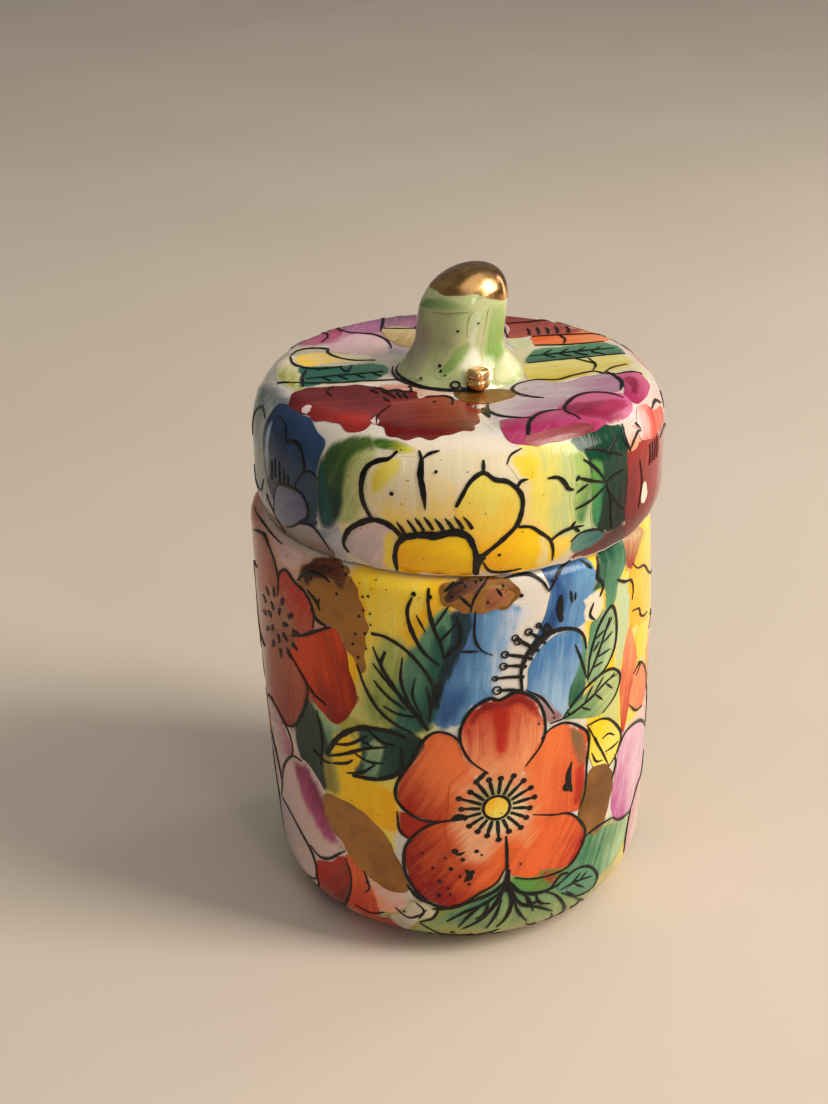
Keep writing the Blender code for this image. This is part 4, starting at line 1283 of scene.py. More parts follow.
def jar_green_right(paint):
    """Leaves to the right of the blue flower."""
    p = Painting("jar_green_right", on_jar, "jar", 2.5)
    p.fill([(20.3, 49), (23.5, 48.8), (24.6, 46), (23.7, 41), (22.4, 36), (22.2, 31), (21.8, 27.3),
            (20, 26.8), (18.5, 29), (18.2, 33), (20.5, 35.5), (20.3, 39), (20.4, 44)], (0.58, 0.56, 0.16),
            (0.50, 0.58, 0.32), ((22, 30), (22, 48)), 85, 0.9)
    p.fill([(16.3, 49.4), (17.3, 52), (18.6, 54.3), (23, 54.3), (23.5, 51.7), (21.4, 49), (20.3, 46.4),
            (18.4, 45.8), (18.4, 49.2)], (0.015, 0.08, 0.045), (0.10, 0.27, 0.14), ((18, 53), (22.4, 49)), 80,
            0.3)
    p.fill([(15.6, 38), (15.8, 41), (16.2, 45.4), (18.2, 46.4), (20, 46.4), (20.6, 43), (20.3, 40.5),
            (18.8, 38.4), (17, 37.4)], SAGE, PALE_GREEN, ((15.8, 43), (20.5, 42)), 60)
    p.fill([(13, 34.8), (12.8, 37), (13.6, 39.5), (14.3, 43.5), (15.6, 44.4), (15.8, 40), (15.6, 37),
            (14.4, 34.8)], (0.02, 0.10, 0.05), SAGE, ((13.2, 37), (15.4, 41)), 80, 0.3)
    p.fill([(12.4, 33.9), (15.4, 36.2), (18.2, 37.9), (20.5, 37.3), (21.6, 35.8), (20.8, 33.8), (18.4, 32.2),
            (15, 33)], (0.12, 0.26, 0.10), (0.46, 0.52, 0.20), ((14, 34), (20.6, 35)), 20)
    p.line([(15.8, 38.4), (16.1, 41.2), (17.4, 44.6), (19.4, 46.5), (20.4, 45.6), (20.8, 43), (20.4, 40.5),
            (18.9, 38.6), (17, 37.7)], 0.5)
    p.line([(15.7, 38), (17.5, 41.2), (19.4, 45.2)], 0.42)
    for a, b in (((16.4, 39.4), (18.2, 39.6)), ((17.1, 40.6), (19.6, 40.8)), ((17.9, 42), (20, 43)),
                 ((18.5, 43.3), (19.8, 45)), ((16.6, 41.6), (17.6, 42.6)), ((16.9, 43.2), (18.4, 43.8))):
        p.line([a, b], 0.34)
    p.line([(10.4, 33.8), (13, 34.1), (16, 35.2), (19, 36.5), (21, 36.6)], 0.46)
    p.line([(12, 33.9), (14.6, 36.4), (17, 37.7), (19.4, 38), (21, 37.2), (21.8, 35.8), (20.8, 33.8),
            (18.4, 32.3)], 0.46)
    for a, b in (((15.4, 35.2), (16.6, 36.9)), ((17, 35.9), (18.4, 37.4)), ((18.8, 36.4), (20.2, 35)),
                 ((17, 35.6), (18.4, 34.2)), ((14.8, 34.6), (16.4, 33.6)), ((19.6, 36.6), (20.6, 37))):
        p.line([a, b], 0.32)
    p.line([(17.8, 53.6), (17.2, 51.4), (18.2, 50), (17.6, 48.6)], 0.6)
    p.line([(21, 49.6), (22.2, 48.8), (23.4, 48.4)], 0.4)
    p.line([(13.8, 43.6), (14.8, 41), (15.6, 38.4)], 0.42)
    p.finish(paint)


def jar_yellow_right(paint):
    """Yellow petals and an orange bud at the right."""
    p = Painting("jar_yellow_right", on_jar, "jar", 5)
    p.fill([(23.6, 46.4), (24.2, 50), (26, 52.6), (30, 53.6), (34, 52), (35, 48.4), (32, 46.4), (28, 46.6)],
            AMBER, LEMON, ((25, 50), (33, 50)), 70)
    p.fill([(24.2, 41.8), (23.8, 45.8), (27, 47.6), (32, 46.4), (35.4, 43), (33, 39.6), (29, 39.8), (26, 41)],
            AMBER, LEMON, ((25, 43), (33, 43)), 60)
    p.fill([(26.4, 40.4), (29.6, 40.2), (31.4, 37.8), (30, 35.6), (27, 35.8), (25.8, 38)], YELLOW, LEMON,
            ((26, 38), (31, 38)), 40, 0.4)
    p.fill([(24, 41.8), (25.5, 38.5), (26.2, 35.5), (25.6, 33), (24, 30), (22.9, 27.3), (22, 31), (22, 36),
            (22.7, 39.5)], RED, PALE_ORANGE, ((23, 28), (24.4, 40)), 80)
    p.fill([(25, 33.5), (26, 34.7), (28.5, 34.2), (31, 31.5), (31.3, 28.5), (29, 27.8), (26.5, 28.5),
            (24.3, 30.5)], ORANGE, PALE_ORANGE, ((30, 29), (26, 33)), 30)
    p.fill([(22.6, 50.6), (23.2, 53.6), (27, 54.2), (29, 52.6), (26.4, 51), (24.2, 49.4)], BRICK,
            (0.52, 0.30, 0.12), ((24, 50), (26, 54)), 60, 0.4)
    p.fill([(31, 38), (33.6, 38.6), (37, 36.6), (38, 32), (35, 29), (31.6, 30), (30.6, 34)], SALMON, BLUSH,
            ((32, 30), (36, 36)), 60, 0.6)
    p.line([(20.8, 49.5), (22.4, 48.6), (24, 48.2), (24.6, 46.8), (24.3, 45.4)], 0.4)
    p.line([(24.5, 50.2), (26, 48.9), (28.5, 48.1), (31, 46), (34, 44.4), (36, 43.8)], 0.44)
    p.line([(24.4, 43.8), (26.4, 43.2), (27, 42), (28.4, 41.2), (29.8, 41)], 0.42)
    p.line([(25.2, 34.6), (27.5, 35), (29.6, 33.2), (31, 31), (31.6, 28.6)], 0.42)
    p.line([(24.2, 30.6), (26.4, 28.6), (29, 27.8)], 0.4)
    p.line([(26.8, 35.4), (27.6, 34.9), (26, 33.8)], 0.3)
    p.line([(31, 38), (34, 38.8), (37.2, 36.8), (38.2, 32)], 0.42)
    p.finish(paint)


def jar_bud_and_gold(paint):
    """Yellow bud over a gold oval at the right of the poppy."""
    p = Painting("jar_bud", on_jar, "jar", 9)
    p.fill([(16.6, 31.4), (19.5, 30.7), (21, 29), (22, 27.3), (21.4, 25.3), (19.8, 23.8), (17.6, 24.6),
            (16.2, 27)], YELLOW, LEMON, ((17, 30), (20.6, 25)), 50)
    p.fill([(17.2, 25.1), (19.5, 24.2), (20.8, 22), (20.4, 18.5), (19.2, 15.4), (17.5, 14.6), (15.5, 16.4),
            (14.7, 19), (15, 22), (15.8, 24.2)], GOLD, GOLD, kind="gold")
    p.line([(15.8, 31.6), (18, 31.6), (19.7, 30.8), (21.4, 29), (22.3, 27.3), (21.6, 25.2), (19.8, 23.8)],
            0.44)
    p.line([(16, 31.4), (17.4, 28.6), (18.6, 26.4), (19.8, 24)], 0.42)
    p.line([(18.4, 28.6), (19.6, 28.8), (20.8, 28)], 0.36)
    p.line([(17.8, 27.8), (17.2, 29.4)], 0.36)
    p.line([(19, 26.4), (20.6, 26.4), (21.8, 26.6)], 0.36)
    p.line([(16.6, 27.4), (17.4, 25.8), (18.6, 25.4)], 0.36)
    p.line([(20.6, 21.4), (21.4, 23.4), (21, 25)], 0.36)
    p.finish(paint)


def jar_pink_right(paint):
    """Pink petals at the lower right."""
    p = Painting("jar_pink_right", on_jar, "jar", 2.5)
    p.fill([(22.2, 25.4), (23.5, 26.7), (26.5, 26.5), (30, 24.5), (33, 22), (34, 18), (32, 15), (29, 13.6),
            (26.5, 13.1), (23, 13.7), (21.2, 15.5), (20.9, 19), (21.6, 23)], (0.46, 0.07, 0.26),
            (0.74, 0.46, 0.54), ((20, 18), (27, 20)), 80)
    p.fill([(25.5, 7), (26, 10.5), (27, 13), (29.5, 15.1), (33, 15.2), (36, 13), (37.6, 9), (36.6, 5),
            (33, 3.4), (29, 4.3), (26.6, 5.6)], ROSE, BLUSH, ((24, 12), (30, 9)), 40)
    p.fill([(33.6, 22.4), (35.4, 25.4), (39, 26), (42, 23), (42, 18), (39, 15.4), (36, 15.6), (34, 18)], ROSE,
            BLUSH, ((41, 22), (36, 19)), 40)
    p.line([(22, 25.6), (23.2, 26.9), (25.4, 27), (27.8, 26.2), (30.2, 24.7), (33, 22.2)], 0.5)
    p.line([(21.4, 15.2), (22.6, 14.1), (24.2, 13.4), (26.6, 12.9)], 0.5)
    p.line([(26.9, 12.9), (26, 10.5), (25.4, 7)], 0.5)
    p.line([(26.8, 13), (29.4, 15.2), (32, 15.4), (34.4, 17.6)], 0.5)
    p.line([(30, 4), (33.2, 3.2), (36.8, 4.8), (37.8, 9), (36.2, 13.2), (33.6, 15.4)], 0.48)
    p.line([(33.6, 22.4), (35.4, 25.6), (39, 26.2), (42.2, 23), (42.2, 18), (39.2, 15.2), (36, 15.4)], 0.48)
    p.finish(paint)


def jar_foliage(paint):
    """Green spiky leaves under the poppy that run round under the jar."""
    p = Painting("jar_foliage", on_jar, "jar")
    p.fill([(-8.4, -4.2), (-8, 1), (-6.4, 5), (-4, 7.4), (-1.4, 8.8), (1.4, 10.6), (4, 12.4), (6, 12.6),
            (8, 12.8), (11, 12.2), (13, 11.8), (15, 13.4), (17.4, 12), (18.6, 8), (19, 4), (22, -1),
            (27, -4.2), (10, -4.6)], (0.07, 0.20, 0.11), (0.34, 0.42, 0.14), ((6, 10.6), (6, 3)), 80, 0.9)
    p.fill([(-6, 3.4), (-3, 6), (1, 4.6), (5, 3.6), (9, 4), (13, 3.6), (17, 4), (20, 0), (16, -3.6),
            (0, -4.2), (-7, -2)], OLIVE, (0.58, 0.50, 0.24), ((2, 6), (2, -4)), 85, 2.0)
    p.fill([(15.4, 14.4), (18, 15.6), (20, 15), (22, 14.1), (25.5, 12.8), (26, 10), (24.4, 8.2), (21, 6.6),
            (19, 6), (17.4, 8), (15.8, 10.5), (15.2, 12.5)], (0.035, 0.17, 0.075), (0.36, 0.50, 0.26),
            ((17, 12), (25, 10)), 70, 0.6)
    p.fill([(18.6, 6.4), (22, 8), (25.4, 8.6), (28, 4), (33, 2.4), (36, -1), (33, -4.4), (26, -3.4), (22, 0)],
            (0.50, 0.40, 0.18), LEMON, ((22, 2), (29, 3)), 60, 1.4)
    p.fill([(5.4, 12.4), (8, 13), (11, 12.6), (12, 11), (10, 9.3), (8, 9.4), (6.2, 10.5)], MOSS, LEAF,
            ((11, 10), (7, 12)), 30, 0.5)
    p.order = 11
    p.fill([(9.2, 12.4), (11, 12.3), (13, 11.6), (12.6, 10.2), (10.4, 9.8)], BRICK, MOSS,
            ((10, 11), (12.6, 11)), 30, 0.6)
    p.fill([(11.8, 9.4), (14.5, 10.4), (17, 9.6), (18.4, 7.5), (17.8, 5.8), (15, 6.2), (12.5, 7.9)],
            (0.08, 0.22, 0.13), SAGE, ((13, 8), (17.6, 8)), 10)
    p.fill([(21.4, -0.6), (25, 0.2), (29, -0.8), (29.4, -2.6), (26, -3.8), (22, -3.2)], SAGE, PALE_GREEN,
            ((22, -2), (29, -1)), 10)
    p.line([(5.1, 13.8), (4.9, 12.4), (4.9, 10.4)], 0.8, (0.8, 0.8))
    p.line([(5, 12.2), (3, 10.6), (0, 9.4), (-2.6, 8.4), (-4.6, 8.2)], 0.6, (0.9, 0.3))
    p.line([(-3.6, 8.4), (-4.6, 6.6), (-6.4, 5.6)], 0.5)
    p.line([(4.8, 11.8), (3.4, 8.8), (1.2, 6.2), (-0.8, 4.6)], 0.6, (0.9, 0.3))
    p.line([(4.4, 10.8), (2, 9), (-0.6, 7.8), (-2.8, 6.2)], 0.54)
    p.line([(1.6, 8.6), (0, 7.2), (-1.4, 5)], 0.46)
    p.line([(2.6, 9.4), (2, 7.4), (0.8, 6.6)], 0.46)
    p.line([(5.2, 11.8), (6.6, 10), (9, 9.2), (12, 9.4)], 0.62, (0.9, 0.5))
    p.line([(5.1, 11), (5.4, 8.4), (4.6, 6), (3.6, 4.4)], 0.6, (0.9, 0.3))
    p.line([(5.3, 10.6), (6.6, 8.2), (9.2, 6.8), (11.4, 5)], 0.6, (0.9, 0.3))
    p.line([(5.6, 9.2), (6.4, 6.8), (7.8, 4.4)], 0.5)
    p.line([(4.2, 9.4), (3.4, 7), (2.2, 4.4)], 0.46)
    p.line([(7.2, 9.6), (7.8, 8), (9.4, 7.8)], 0.46)
    p.line([(8.6, 9.2), (9.2, 7.6), (10.8, 6.8)], 0.46)
    p.line([(6, 10.6), (7.6, 8.8), (8.4, 6.4)], 0.46)
    p.line([(9.8, 9.2), (11.6, 7.8), (13.2, 5.2), (14, 2.6), (13.6, -0.6), (13, -3.6)], 0.56)
    p.line([(10.8, 9.4), (12.2, 10.8), (13.4, 10.6)], 0.56)
    p.line([(11.8, 9.4), (14.6, 10.6), (17, 9.8), (18.6, 7.6), (18, 5.6), (15, 6), (12.4, 7.9)], 0.54)
    p.line([(12.2, 8.5), (15, 8.6), (17.6, 8)], 0.46)
    p.line([(13.6, 8.4), (15.4, 9.7)], 0.42)
    p.line([(15.2, 8.6), (16.6, 9.3)], 0.36)
    p.line([(14.4, 8.4), (16.2, 6.9)], 0.42)
    p.line([(13, 7.8), (14.6, 6.5)], 0.42)
    p.line([(14.8, 5.8), (17.6, 3), (20.4, -0.4), (24, -3.8)], 0.54)
    p.line([(16.2, 4.6), (16.6, 1), (16.2, -2.6)], 0.44)
    p.line([(19, 1.4), (22, 0.2), (26, 0.3), (29.4, -0.8), (29.6, -2.8), (27, -4)], 0.46)
    p.line([(21.4, -1), (25, -1.6), (29, -1.8)], 0.4)
    p.line([(22.6, -1.4), (25, -0.6)], 0.34)
    p.line([(23, -1.6), (25.4, -2.8)], 0.34)
    p.line([(4, 3.6), (0.6, 1.4), (-2.8, -1.6)], 0.46)
    p.line([(7.8, 3.6), (9.8, 0.6), (8.8, -2.6)], 0.46)
    p.line([(11.4, 4.4), (12.4, 1.8), (11.2, -0.8)], 0.46)
    p.line([(3, 2.4), (4.6, 0.4), (7, -0.6)], 0.42)
    p.line([(-6.4, 5.4), (-4.6, 3), (-3.6, 0), (-4, -3.4)], 0.44)
    p.line([(-4, 2), (-1.4, 1.6), (0.6, 2.6)], 0.4)
    for x, y in ((13.4, -2.6), (-2.2, 3.2), (2, -1.6), (-5.6, 1.2), (9.4, 2.4), (15.6, 2.8)):
        p.dot((x, y), 0.4)
    p.line([(15.2, 14.6), (17, 15.4), (19.4, 15.5), (21.2, 15.2)], 0.5)
    p.finish(paint)


# ---------------------------------------------------------------- motifs on the side of the lid

def lid_front_ground(paint):
    """Ground colours under the motifs at the front of the lid; the grey at its left is painted shade."""
    p = Painting("lid_front_ground", on_lid_side, "lid", -4)
    p.fill([(-17, 16), (-10, 17.4), (-2, 17.8), (6, 17), (12, 16), (15, 12), (15.4, 6), (13, 1), (9, 0.3),
            (0, 0.3), (-10, 0.3), (-17, 1), (-18, 8)], (0.80, 0.62, 0.28), (0.78, 0.68, 0.54),
            ((0, 4), (0, 12)), 90, 1.8)
    p.order = -3
    p.fill([(5.4, 16.8), (9, 17), (13, 16.2), (16, 14.6), (17, 9), (16, 3), (13, 1.2), (10.6, 3.6), (9, 8),
            (6.4, 12)], LEMON, PALE_GREEN, ((8, 9), (14.6, 9)), 88, 1.6)
    p.order = -3.5
    # painted shade: the white ground at the lid's left painted grey, darkest towards the top
    p.fill([(-41, 10), (-39, 15), (-33, 17.6), (-26, 17.8), (-20, 16), (-18, 9), (-17.6, 2), (-22, 0.3),
            (-32, 0.3), (-39, 1), (-41.4, 5)], (0.20, 0.22, 0.22), (0.52, 0.47, 0.44), ((-24, 12), (-22, 1)),
            30, 1.8)
    p.order = -3
    p.fill([(20.5, 14), (24, 16.2), (30, 16.8), (37, 15.4), (41, 11), (42, 5), (38, 0.8), (28, 0.3),
            (21, 0.4), (19.8, 6)], SALMON, BLUSH, ((24, 3), (34, 12)), 70, 1.8)
    p.finish(paint)


def lid_yellow_flower(paint):
    """Yellow flower drawn in thick outline across the front of the lid."""
    p = Painting("lid_yellow_flower", on_lid_side, "lid")
    p.fill([(-12, 13.6), (-9, 15.2), (-3, 16), (3, 15.6), (8, 15), (12, 14), (13, 10), (13.5, 6), (12, 2),
            (9, 0.35), (0, 0.35), (-8, 0.35), (-9.5, 3), (-9.4, 6), (-11.4, 9)], YELLOW, CREAM,
            ((0, 3), (0, 13)), 90, 1.2)
    p.fill([(6, 15.3), (9, 15.2), (12, 14.6), (14.5, 13.8), (14.8, 10), (14, 5.4), (12.4, 3.6), (9.8, 4),
            (8, 6), (6.4, 7), (6.3, 11)], LEMON, PALE_GREEN, ((7, 10), (13.6, 10)), 88, 1.2)
    p.fill([(-14.4, 1.6), (-14.6, 3.2), (-13.8, 4.8), (-12.3, 6), (-10.8, 6.6), (-9.3, 6.5), (-8.2, 5.9),
            (-7.9, 4), (-8.2, 1.6), (-8.6, 0.35), (-12, 0.35)], GREY_LILAC, BLUSH, ((-14, 2), (-9, 4)), 60,
            0.4)
    p.fill([(-9.2, 5.6), (-8, 5.4), (-8, 3), (-8.3, 0.4), (-10, 0.4), (-9.9, 3)], YELLOW, LEMON, soft=0.8)
    p.fill([(-8.1, 0.4), (-8.2, 2.5), (-7.8, 4.2), (-6.8, 5), (-5, 5.3), (-3.5, 5.2), (-2.5, 5.6),
            (-1.2, 5.8), (0, 5.3), (0.7, 4), (0.9, 2.6), (0.9, 0.4), (-4, 0.35)], AMBER, YELLOW,
            ((-6, 1), (-2, 5)), 20)
    p.fill([(-1.3, 9), (-0.6, 10.5), (0.3, 12), (1.7, 12.8), (3, 12), (4.3, 11.7), (5.3, 10.9), (5.9, 9.7),
            (5.8, 8), (5.2, 6.5), (3.8, 5), (2.5, 3.9), (1.6, 3.2), (0.8, 5.4), (-0.8, 6.6)], AMBER, LEMON,
            ((3, 3.6), (1.6, 11)), 80)
    p.fill([(2, 1), (1.8, 2.7), (3, 4), (4.6, 5.5), (5.6, 6.3), (7.3, 6.1), (8.8, 4.8), (9.6, 3.2),
            (9.8, 1.6), (8.4, 0.6), (5, 0.45), (3, 0.6)], AMBER, YELLOW, ((3, 1.4), (7, 5)), 40)
    p.fill([(7.6, 5.6), (9.2, 4.4), (9.8, 2), (9, 0.6), (7.6, 1), (8, 3)], LEMON, CREAM, soft=0.9)
    p.fill([(4.6, 14.2), (6.6, 15), (8.4, 14), (8, 11.6), (6.6, 11.4), (5.2, 12.4)], YELLOW, LEMON, soft=0.8)
    p.fill([(-10.9, 12.8), (-9.4, 14.4), (-7.6, 14.3), (-7.2, 12.6), (-8.8, 11), (-10.6, 9.6), (-11.4, 11)],
            (0.70, 0.52, 0.04), LEMON, ((-11, 11), (-8, 13)), 60, 1.0)
    p.line([(-14.2, 1.8), (-14.6, 3), (-13.8, 4.8), (-12.3, 6), (-10.8, 6.7), (-9.3, 6.6), (-8.2, 6),
            (-7.4, 5.2)], 0.78, (0.5, 0.9))
    p.line([(-8.1, 14.9), (-9, 14), (-10.3, 13.6), (-11.5, 12.7), (-12, 11), (-11.9, 9), (-11.3, 7.6),
            (-10.6, 6.6)], 0.72, (0.5, 0.7))
    p.fill([(-8, 0.35), (-7.4, 1), (-5.4, 0.7), (-3, 1.1), (-1.6, 0.7), (0.6, 1), (3, 0.6), (5, 1), (6, 0.4),
            (0, 0.32)], BRICK, AMBER, ((-6, 0.5), (5, 1)), 0, 0.4)
    p.line([(-8.2, 0.5), (-8.2, 2.5), (-7.8, 4.2), (-7, 5)], 0.7, (0.6, 0.9))
    p.line([(-7.6, 4.7), (-6.8, 5.2), (-5, 5.6), (-3.5, 5.6), (-2.5, 5.9), (-1.2, 6.1), (0, 5.6), (0.5, 4.8)],
            1.1, (0.6, 0.8))
    p.line([(0, 5.6), (0.7, 4.2), (0.95, 2.8), (0.8, 0.8)], 0.8, (0.9, 0.7))
    for x, y in ((-7.9, 6.9), (-6.7, 7.3), (-5.8, 7.6), (-4.8, 7.8), (-3.6, 7.7), (-2.5, 7.8), (-1.5, 8),
                 (-0.5, 8)):
        p.line([(x + 1, y - 1.5), (x + 0.6, y - 0.8), (x, y)], 0.5, (1, 0.15))
    p.line([(-5.6, 15.2), (-5.2, 14.2), (-5.2, 12.5), (-4.9, 11), (-4.7, 9.5), (-4.65, 8.6)], 0.85,
            (0.3, 0.1))
    p.line([(-5.2, 14.2), (-4.4, 14.9), (-3.2, 15.3)], 0.42)
    p.line([(-1.3, 9.1), (-0.6, 10.5), (0.3, 12), (1.7, 12.9), (3, 12.1), (4.3, 11.8), (5.4, 10.9), (6, 9.7),
            (5.9, 8), (5.3, 6.5), (3.8, 5), (2.5, 3.9), (1.4, 3)], 0.62, (0.7, 1))
    p.line([(1.75, 12.9), (1.8, 14.3)], 0.45)
    p.line([(5.4, 11), (5.9, 11.7), (6.7, 11.8)], 0.45)
    p.line([(5.6, 6.4), (7, 6.2), (8.2, 5.3), (9.3, 4.3), (9.8, 3), (10, 1.4)], 0.5, (0.8, 0.4))
    p.line([(9.4, 4.1), (10.6, 4.8), (12, 5.1), (13.8, 5)], 0.5, (0.8, 0.3))
    p.line([(12, 5.2), (12.6, 5.8)], 0.5)
    p.line([(12.4, 5), (13.2, 4.4)], 0.5)
    p.line([(1.7, 2.4), (2.5, 1.1), (4, 0.72), (6.3, 0.95)], 0.5)
    p.line([(1.7, 3.2), (1.2, 2.5), (1, 1.2), (1.05, 0.5)], 1.0, (1, 0.6))
    p.line([(9, 11.6), (10.2, 11.5), (11, 10.8), (11.5, 10), (12.2, 9.7)], 0.62, (0.3, 0.5))
    p.line([(4.4, 13.6), (5, 14.6), (6.4, 15.2)], 0.3)
    for x, y, r in ((-8.4, 10.2, 0.26), (-3.5, 13, 0.2), (3.5, 3.2, 0.2)):
        p.dot((x, y), r)
    p.finish(paint)


def lid_green_arch(paint):
    """Broad green brush stroke to the left of the yellow flower."""
    p = Painting("lid_green_arch", on_lid_side, "lid", 2.5)
    p.fill([(-19, 1.4), (-18.4, 4.2), (-15.4, 6.2), (-14.4, 4.4), (-14.2, 0.5), (-17, 0.35), (-19.4, 0.5)],
            (0.24, 0.26, 0.30), (0.50, 0.46, 0.48), ((-18, 3), (-14.6, 3)), 40, 0.9)
    p.fill([(-17.4, 13.4), (-13.4, 15.6), (-10.2, 15.2), (-11, 9.4), (-12.4, 6), (-15, 5), (-17, 7)],
            (0.17, 0.25, 0.05), (0.58, 0.56, 0.24), ((-16.4, 11), (-11.6, 10)), 60, 1.0)
    p.fill([(-18.6, 10), (-17.8, 13), (-16, 15.3), (-13.6, 16.3), (-10.5, 16.4), (-8, 16.1), (-6.2, 15.5),
            (-7, 14.8), (-9, 15), (-11.2, 14.4), (-13.4, 13.2), (-13.8, 11.4), (-14, 9), (-14.6, 6.2),
            (-15.6, 4.4), (-17.8, 4), (-18.6, 6.5)], (0.004, 0.030, 0.024), (0.070, 0.13, 0.022),
            ((-18, 8), (-13, 15.4)), 70, 0.9)
    p.fill([(-11.4, 16.3), (-8.6, 16.3), (-6, 15.6), (-5.4, 14.9), (-7.4, 14.4), (-9.6, 14.6), (-11.2, 15)],
            (0.030, 0.12, 0.016), (0.70, 0.60, 0.06), ((-9.6, 16), (-6.4, 15.4)), 20, 0.6)
    p.fill([(-18.6, 10), (-18, 12.6), (-17, 12.4), (-16, 8), (-15.8, 5), (-17.6, 4), (-18.6, 6.5)],
            (0.004, 0.028, 0.032), (0.01, 0.09, 0.075), ((-18.5, 8), (-15.8, 8)), 85, 0.9)
    p.finish(paint)


def lid_navy_flower(paint):
    """Navy flower at the left of the lid, with painted shade at the lid's far left and a painted reflection
    streak.
    """
    p = Painting("lid_navy_flower", on_lid_side, "lid", 6)
    # painted shade: dark grey-blue towards the lid's far left, lighter towards the flower
    p.fill([(-43, 9), (-41, 14), (-35, 16), (-29.6, 15.6), (-28.6, 12), (-28.8, 7), (-30, 2.4), (-36, 0.6),
            (-41.6, 3)], (0.07, 0.15, 0.14), (0.44, 0.45, 0.42), ((-34, 8), (-29, 9)), 70, 1.4)
    p.fill([(-29.6, 3), (-26.6, 5), (-24, 3.6), (-20.6, 4.4), (-17.6, 3), (-16.8, 0.4), (-22, 0.35),
            (-29, 0.4)], (0.27, 0.19, 0.14), (0.36, 0.32, 0.34), ((-24, 0.6), (-24, 4)), 10)
    p.fill([(-29.6, 15), (-28, 16.2), (-22, 16.2), (-19.4, 15.2), (-17.7, 14.3), (-18, 11), (-18.3, 7),
            (-18.4, 4.4), (-20, 3.8), (-23, 3), (-26, 3.5), (-28.5, 6), (-29.8, 10)], NAVY,
            (0.030, 0.065, 0.15), ((-26, 7), (-20, 15)), 80)
    p.fill([(-20.4, 9), (-19, 10.4), (-18, 9.6), (-18.3, 5), (-19.6, 4.2), (-20.2, 6)], (0.012, 0.03, 0.06),
            (0.03, 0.07, 0.12), soft=0.4)
    # painted reflection: a pale blue vertical streak at the navy's left edge
    p.fill([(-29.2, 13), (-28, 13.6), (-27.4, 10), (-28, 6.6), (-29, 7)], (0.10, 0.12, 0.16), PALE_BLUE,
            ((-27, 10), (-29, 10)), 85, 0.7)
    p.fill([(-27, 3.2), (-26.5, 5.5), (-25.5, 6.8), (-24, 7.3), (-22, 7.5), (-20.5, 7.1), (-19.9, 6),
            (-20.1, 4.7), (-21.3, 3.8), (-23, 2.6), (-24.5, 2), (-26.5, 2.1)], (0.09, 0.10, 0.17),
            (0.22, 0.22, 0.30), ((-20, 6), (-26, 3)), 30)
    p.line([(-26.9, 14.8), (-25, 14.2), (-24, 12.7), (-23.3, 13), (-21.8, 13.1), (-20.6, 12.1), (-20.1, 10.5),
            (-20.9, 9.5), (-21.9, 8.1), (-22, 7.3)], 0.55)
    p.line([(-20.2, 10.2), (-19, 10.6), (-18, 10.1)], 0.4)
    p.line([(-27, 3), (-26.5, 5.5), (-25.5, 6.9), (-24, 7.4), (-22, 7.6), (-20.5, 7.2), (-19.8, 6),
            (-20, 4.6), (-21.2, 3.7), (-23, 2.5), (-24.6, 1.9)], 0.5)
    for top, low in (((-26, 10), (-26.3, 7.6)), ((-25, 10), (-25.2, 7.4)), ((-24, 9.4), (-24.3, 7.3)),
                     ((-23.2, 9), (-23.4, 7.4)), ((-26.9, 9.4), (-27.2, 7))):
        p.line([top, low], 0.5, (0.3, 1))
    p.line([(-20.8, 3.7), (-19, 3.8), (-17.8, 2.8), (-17, 1.2)], 0.42)
    p.line([(-29, 4.4), (-27.4, 3), (-26.2, 1.2), (-26, 0.5)], 0.42)
    p.line([(-36.6, 9), (-35.6, 12.2), (-33, 14), (-30.4, 13.4)], 0.45)
    p.line([(-37, 5), (-34.6, 3.6), (-31.4, 4), (-29.8, 6)], 0.45)
    p.finish(paint)


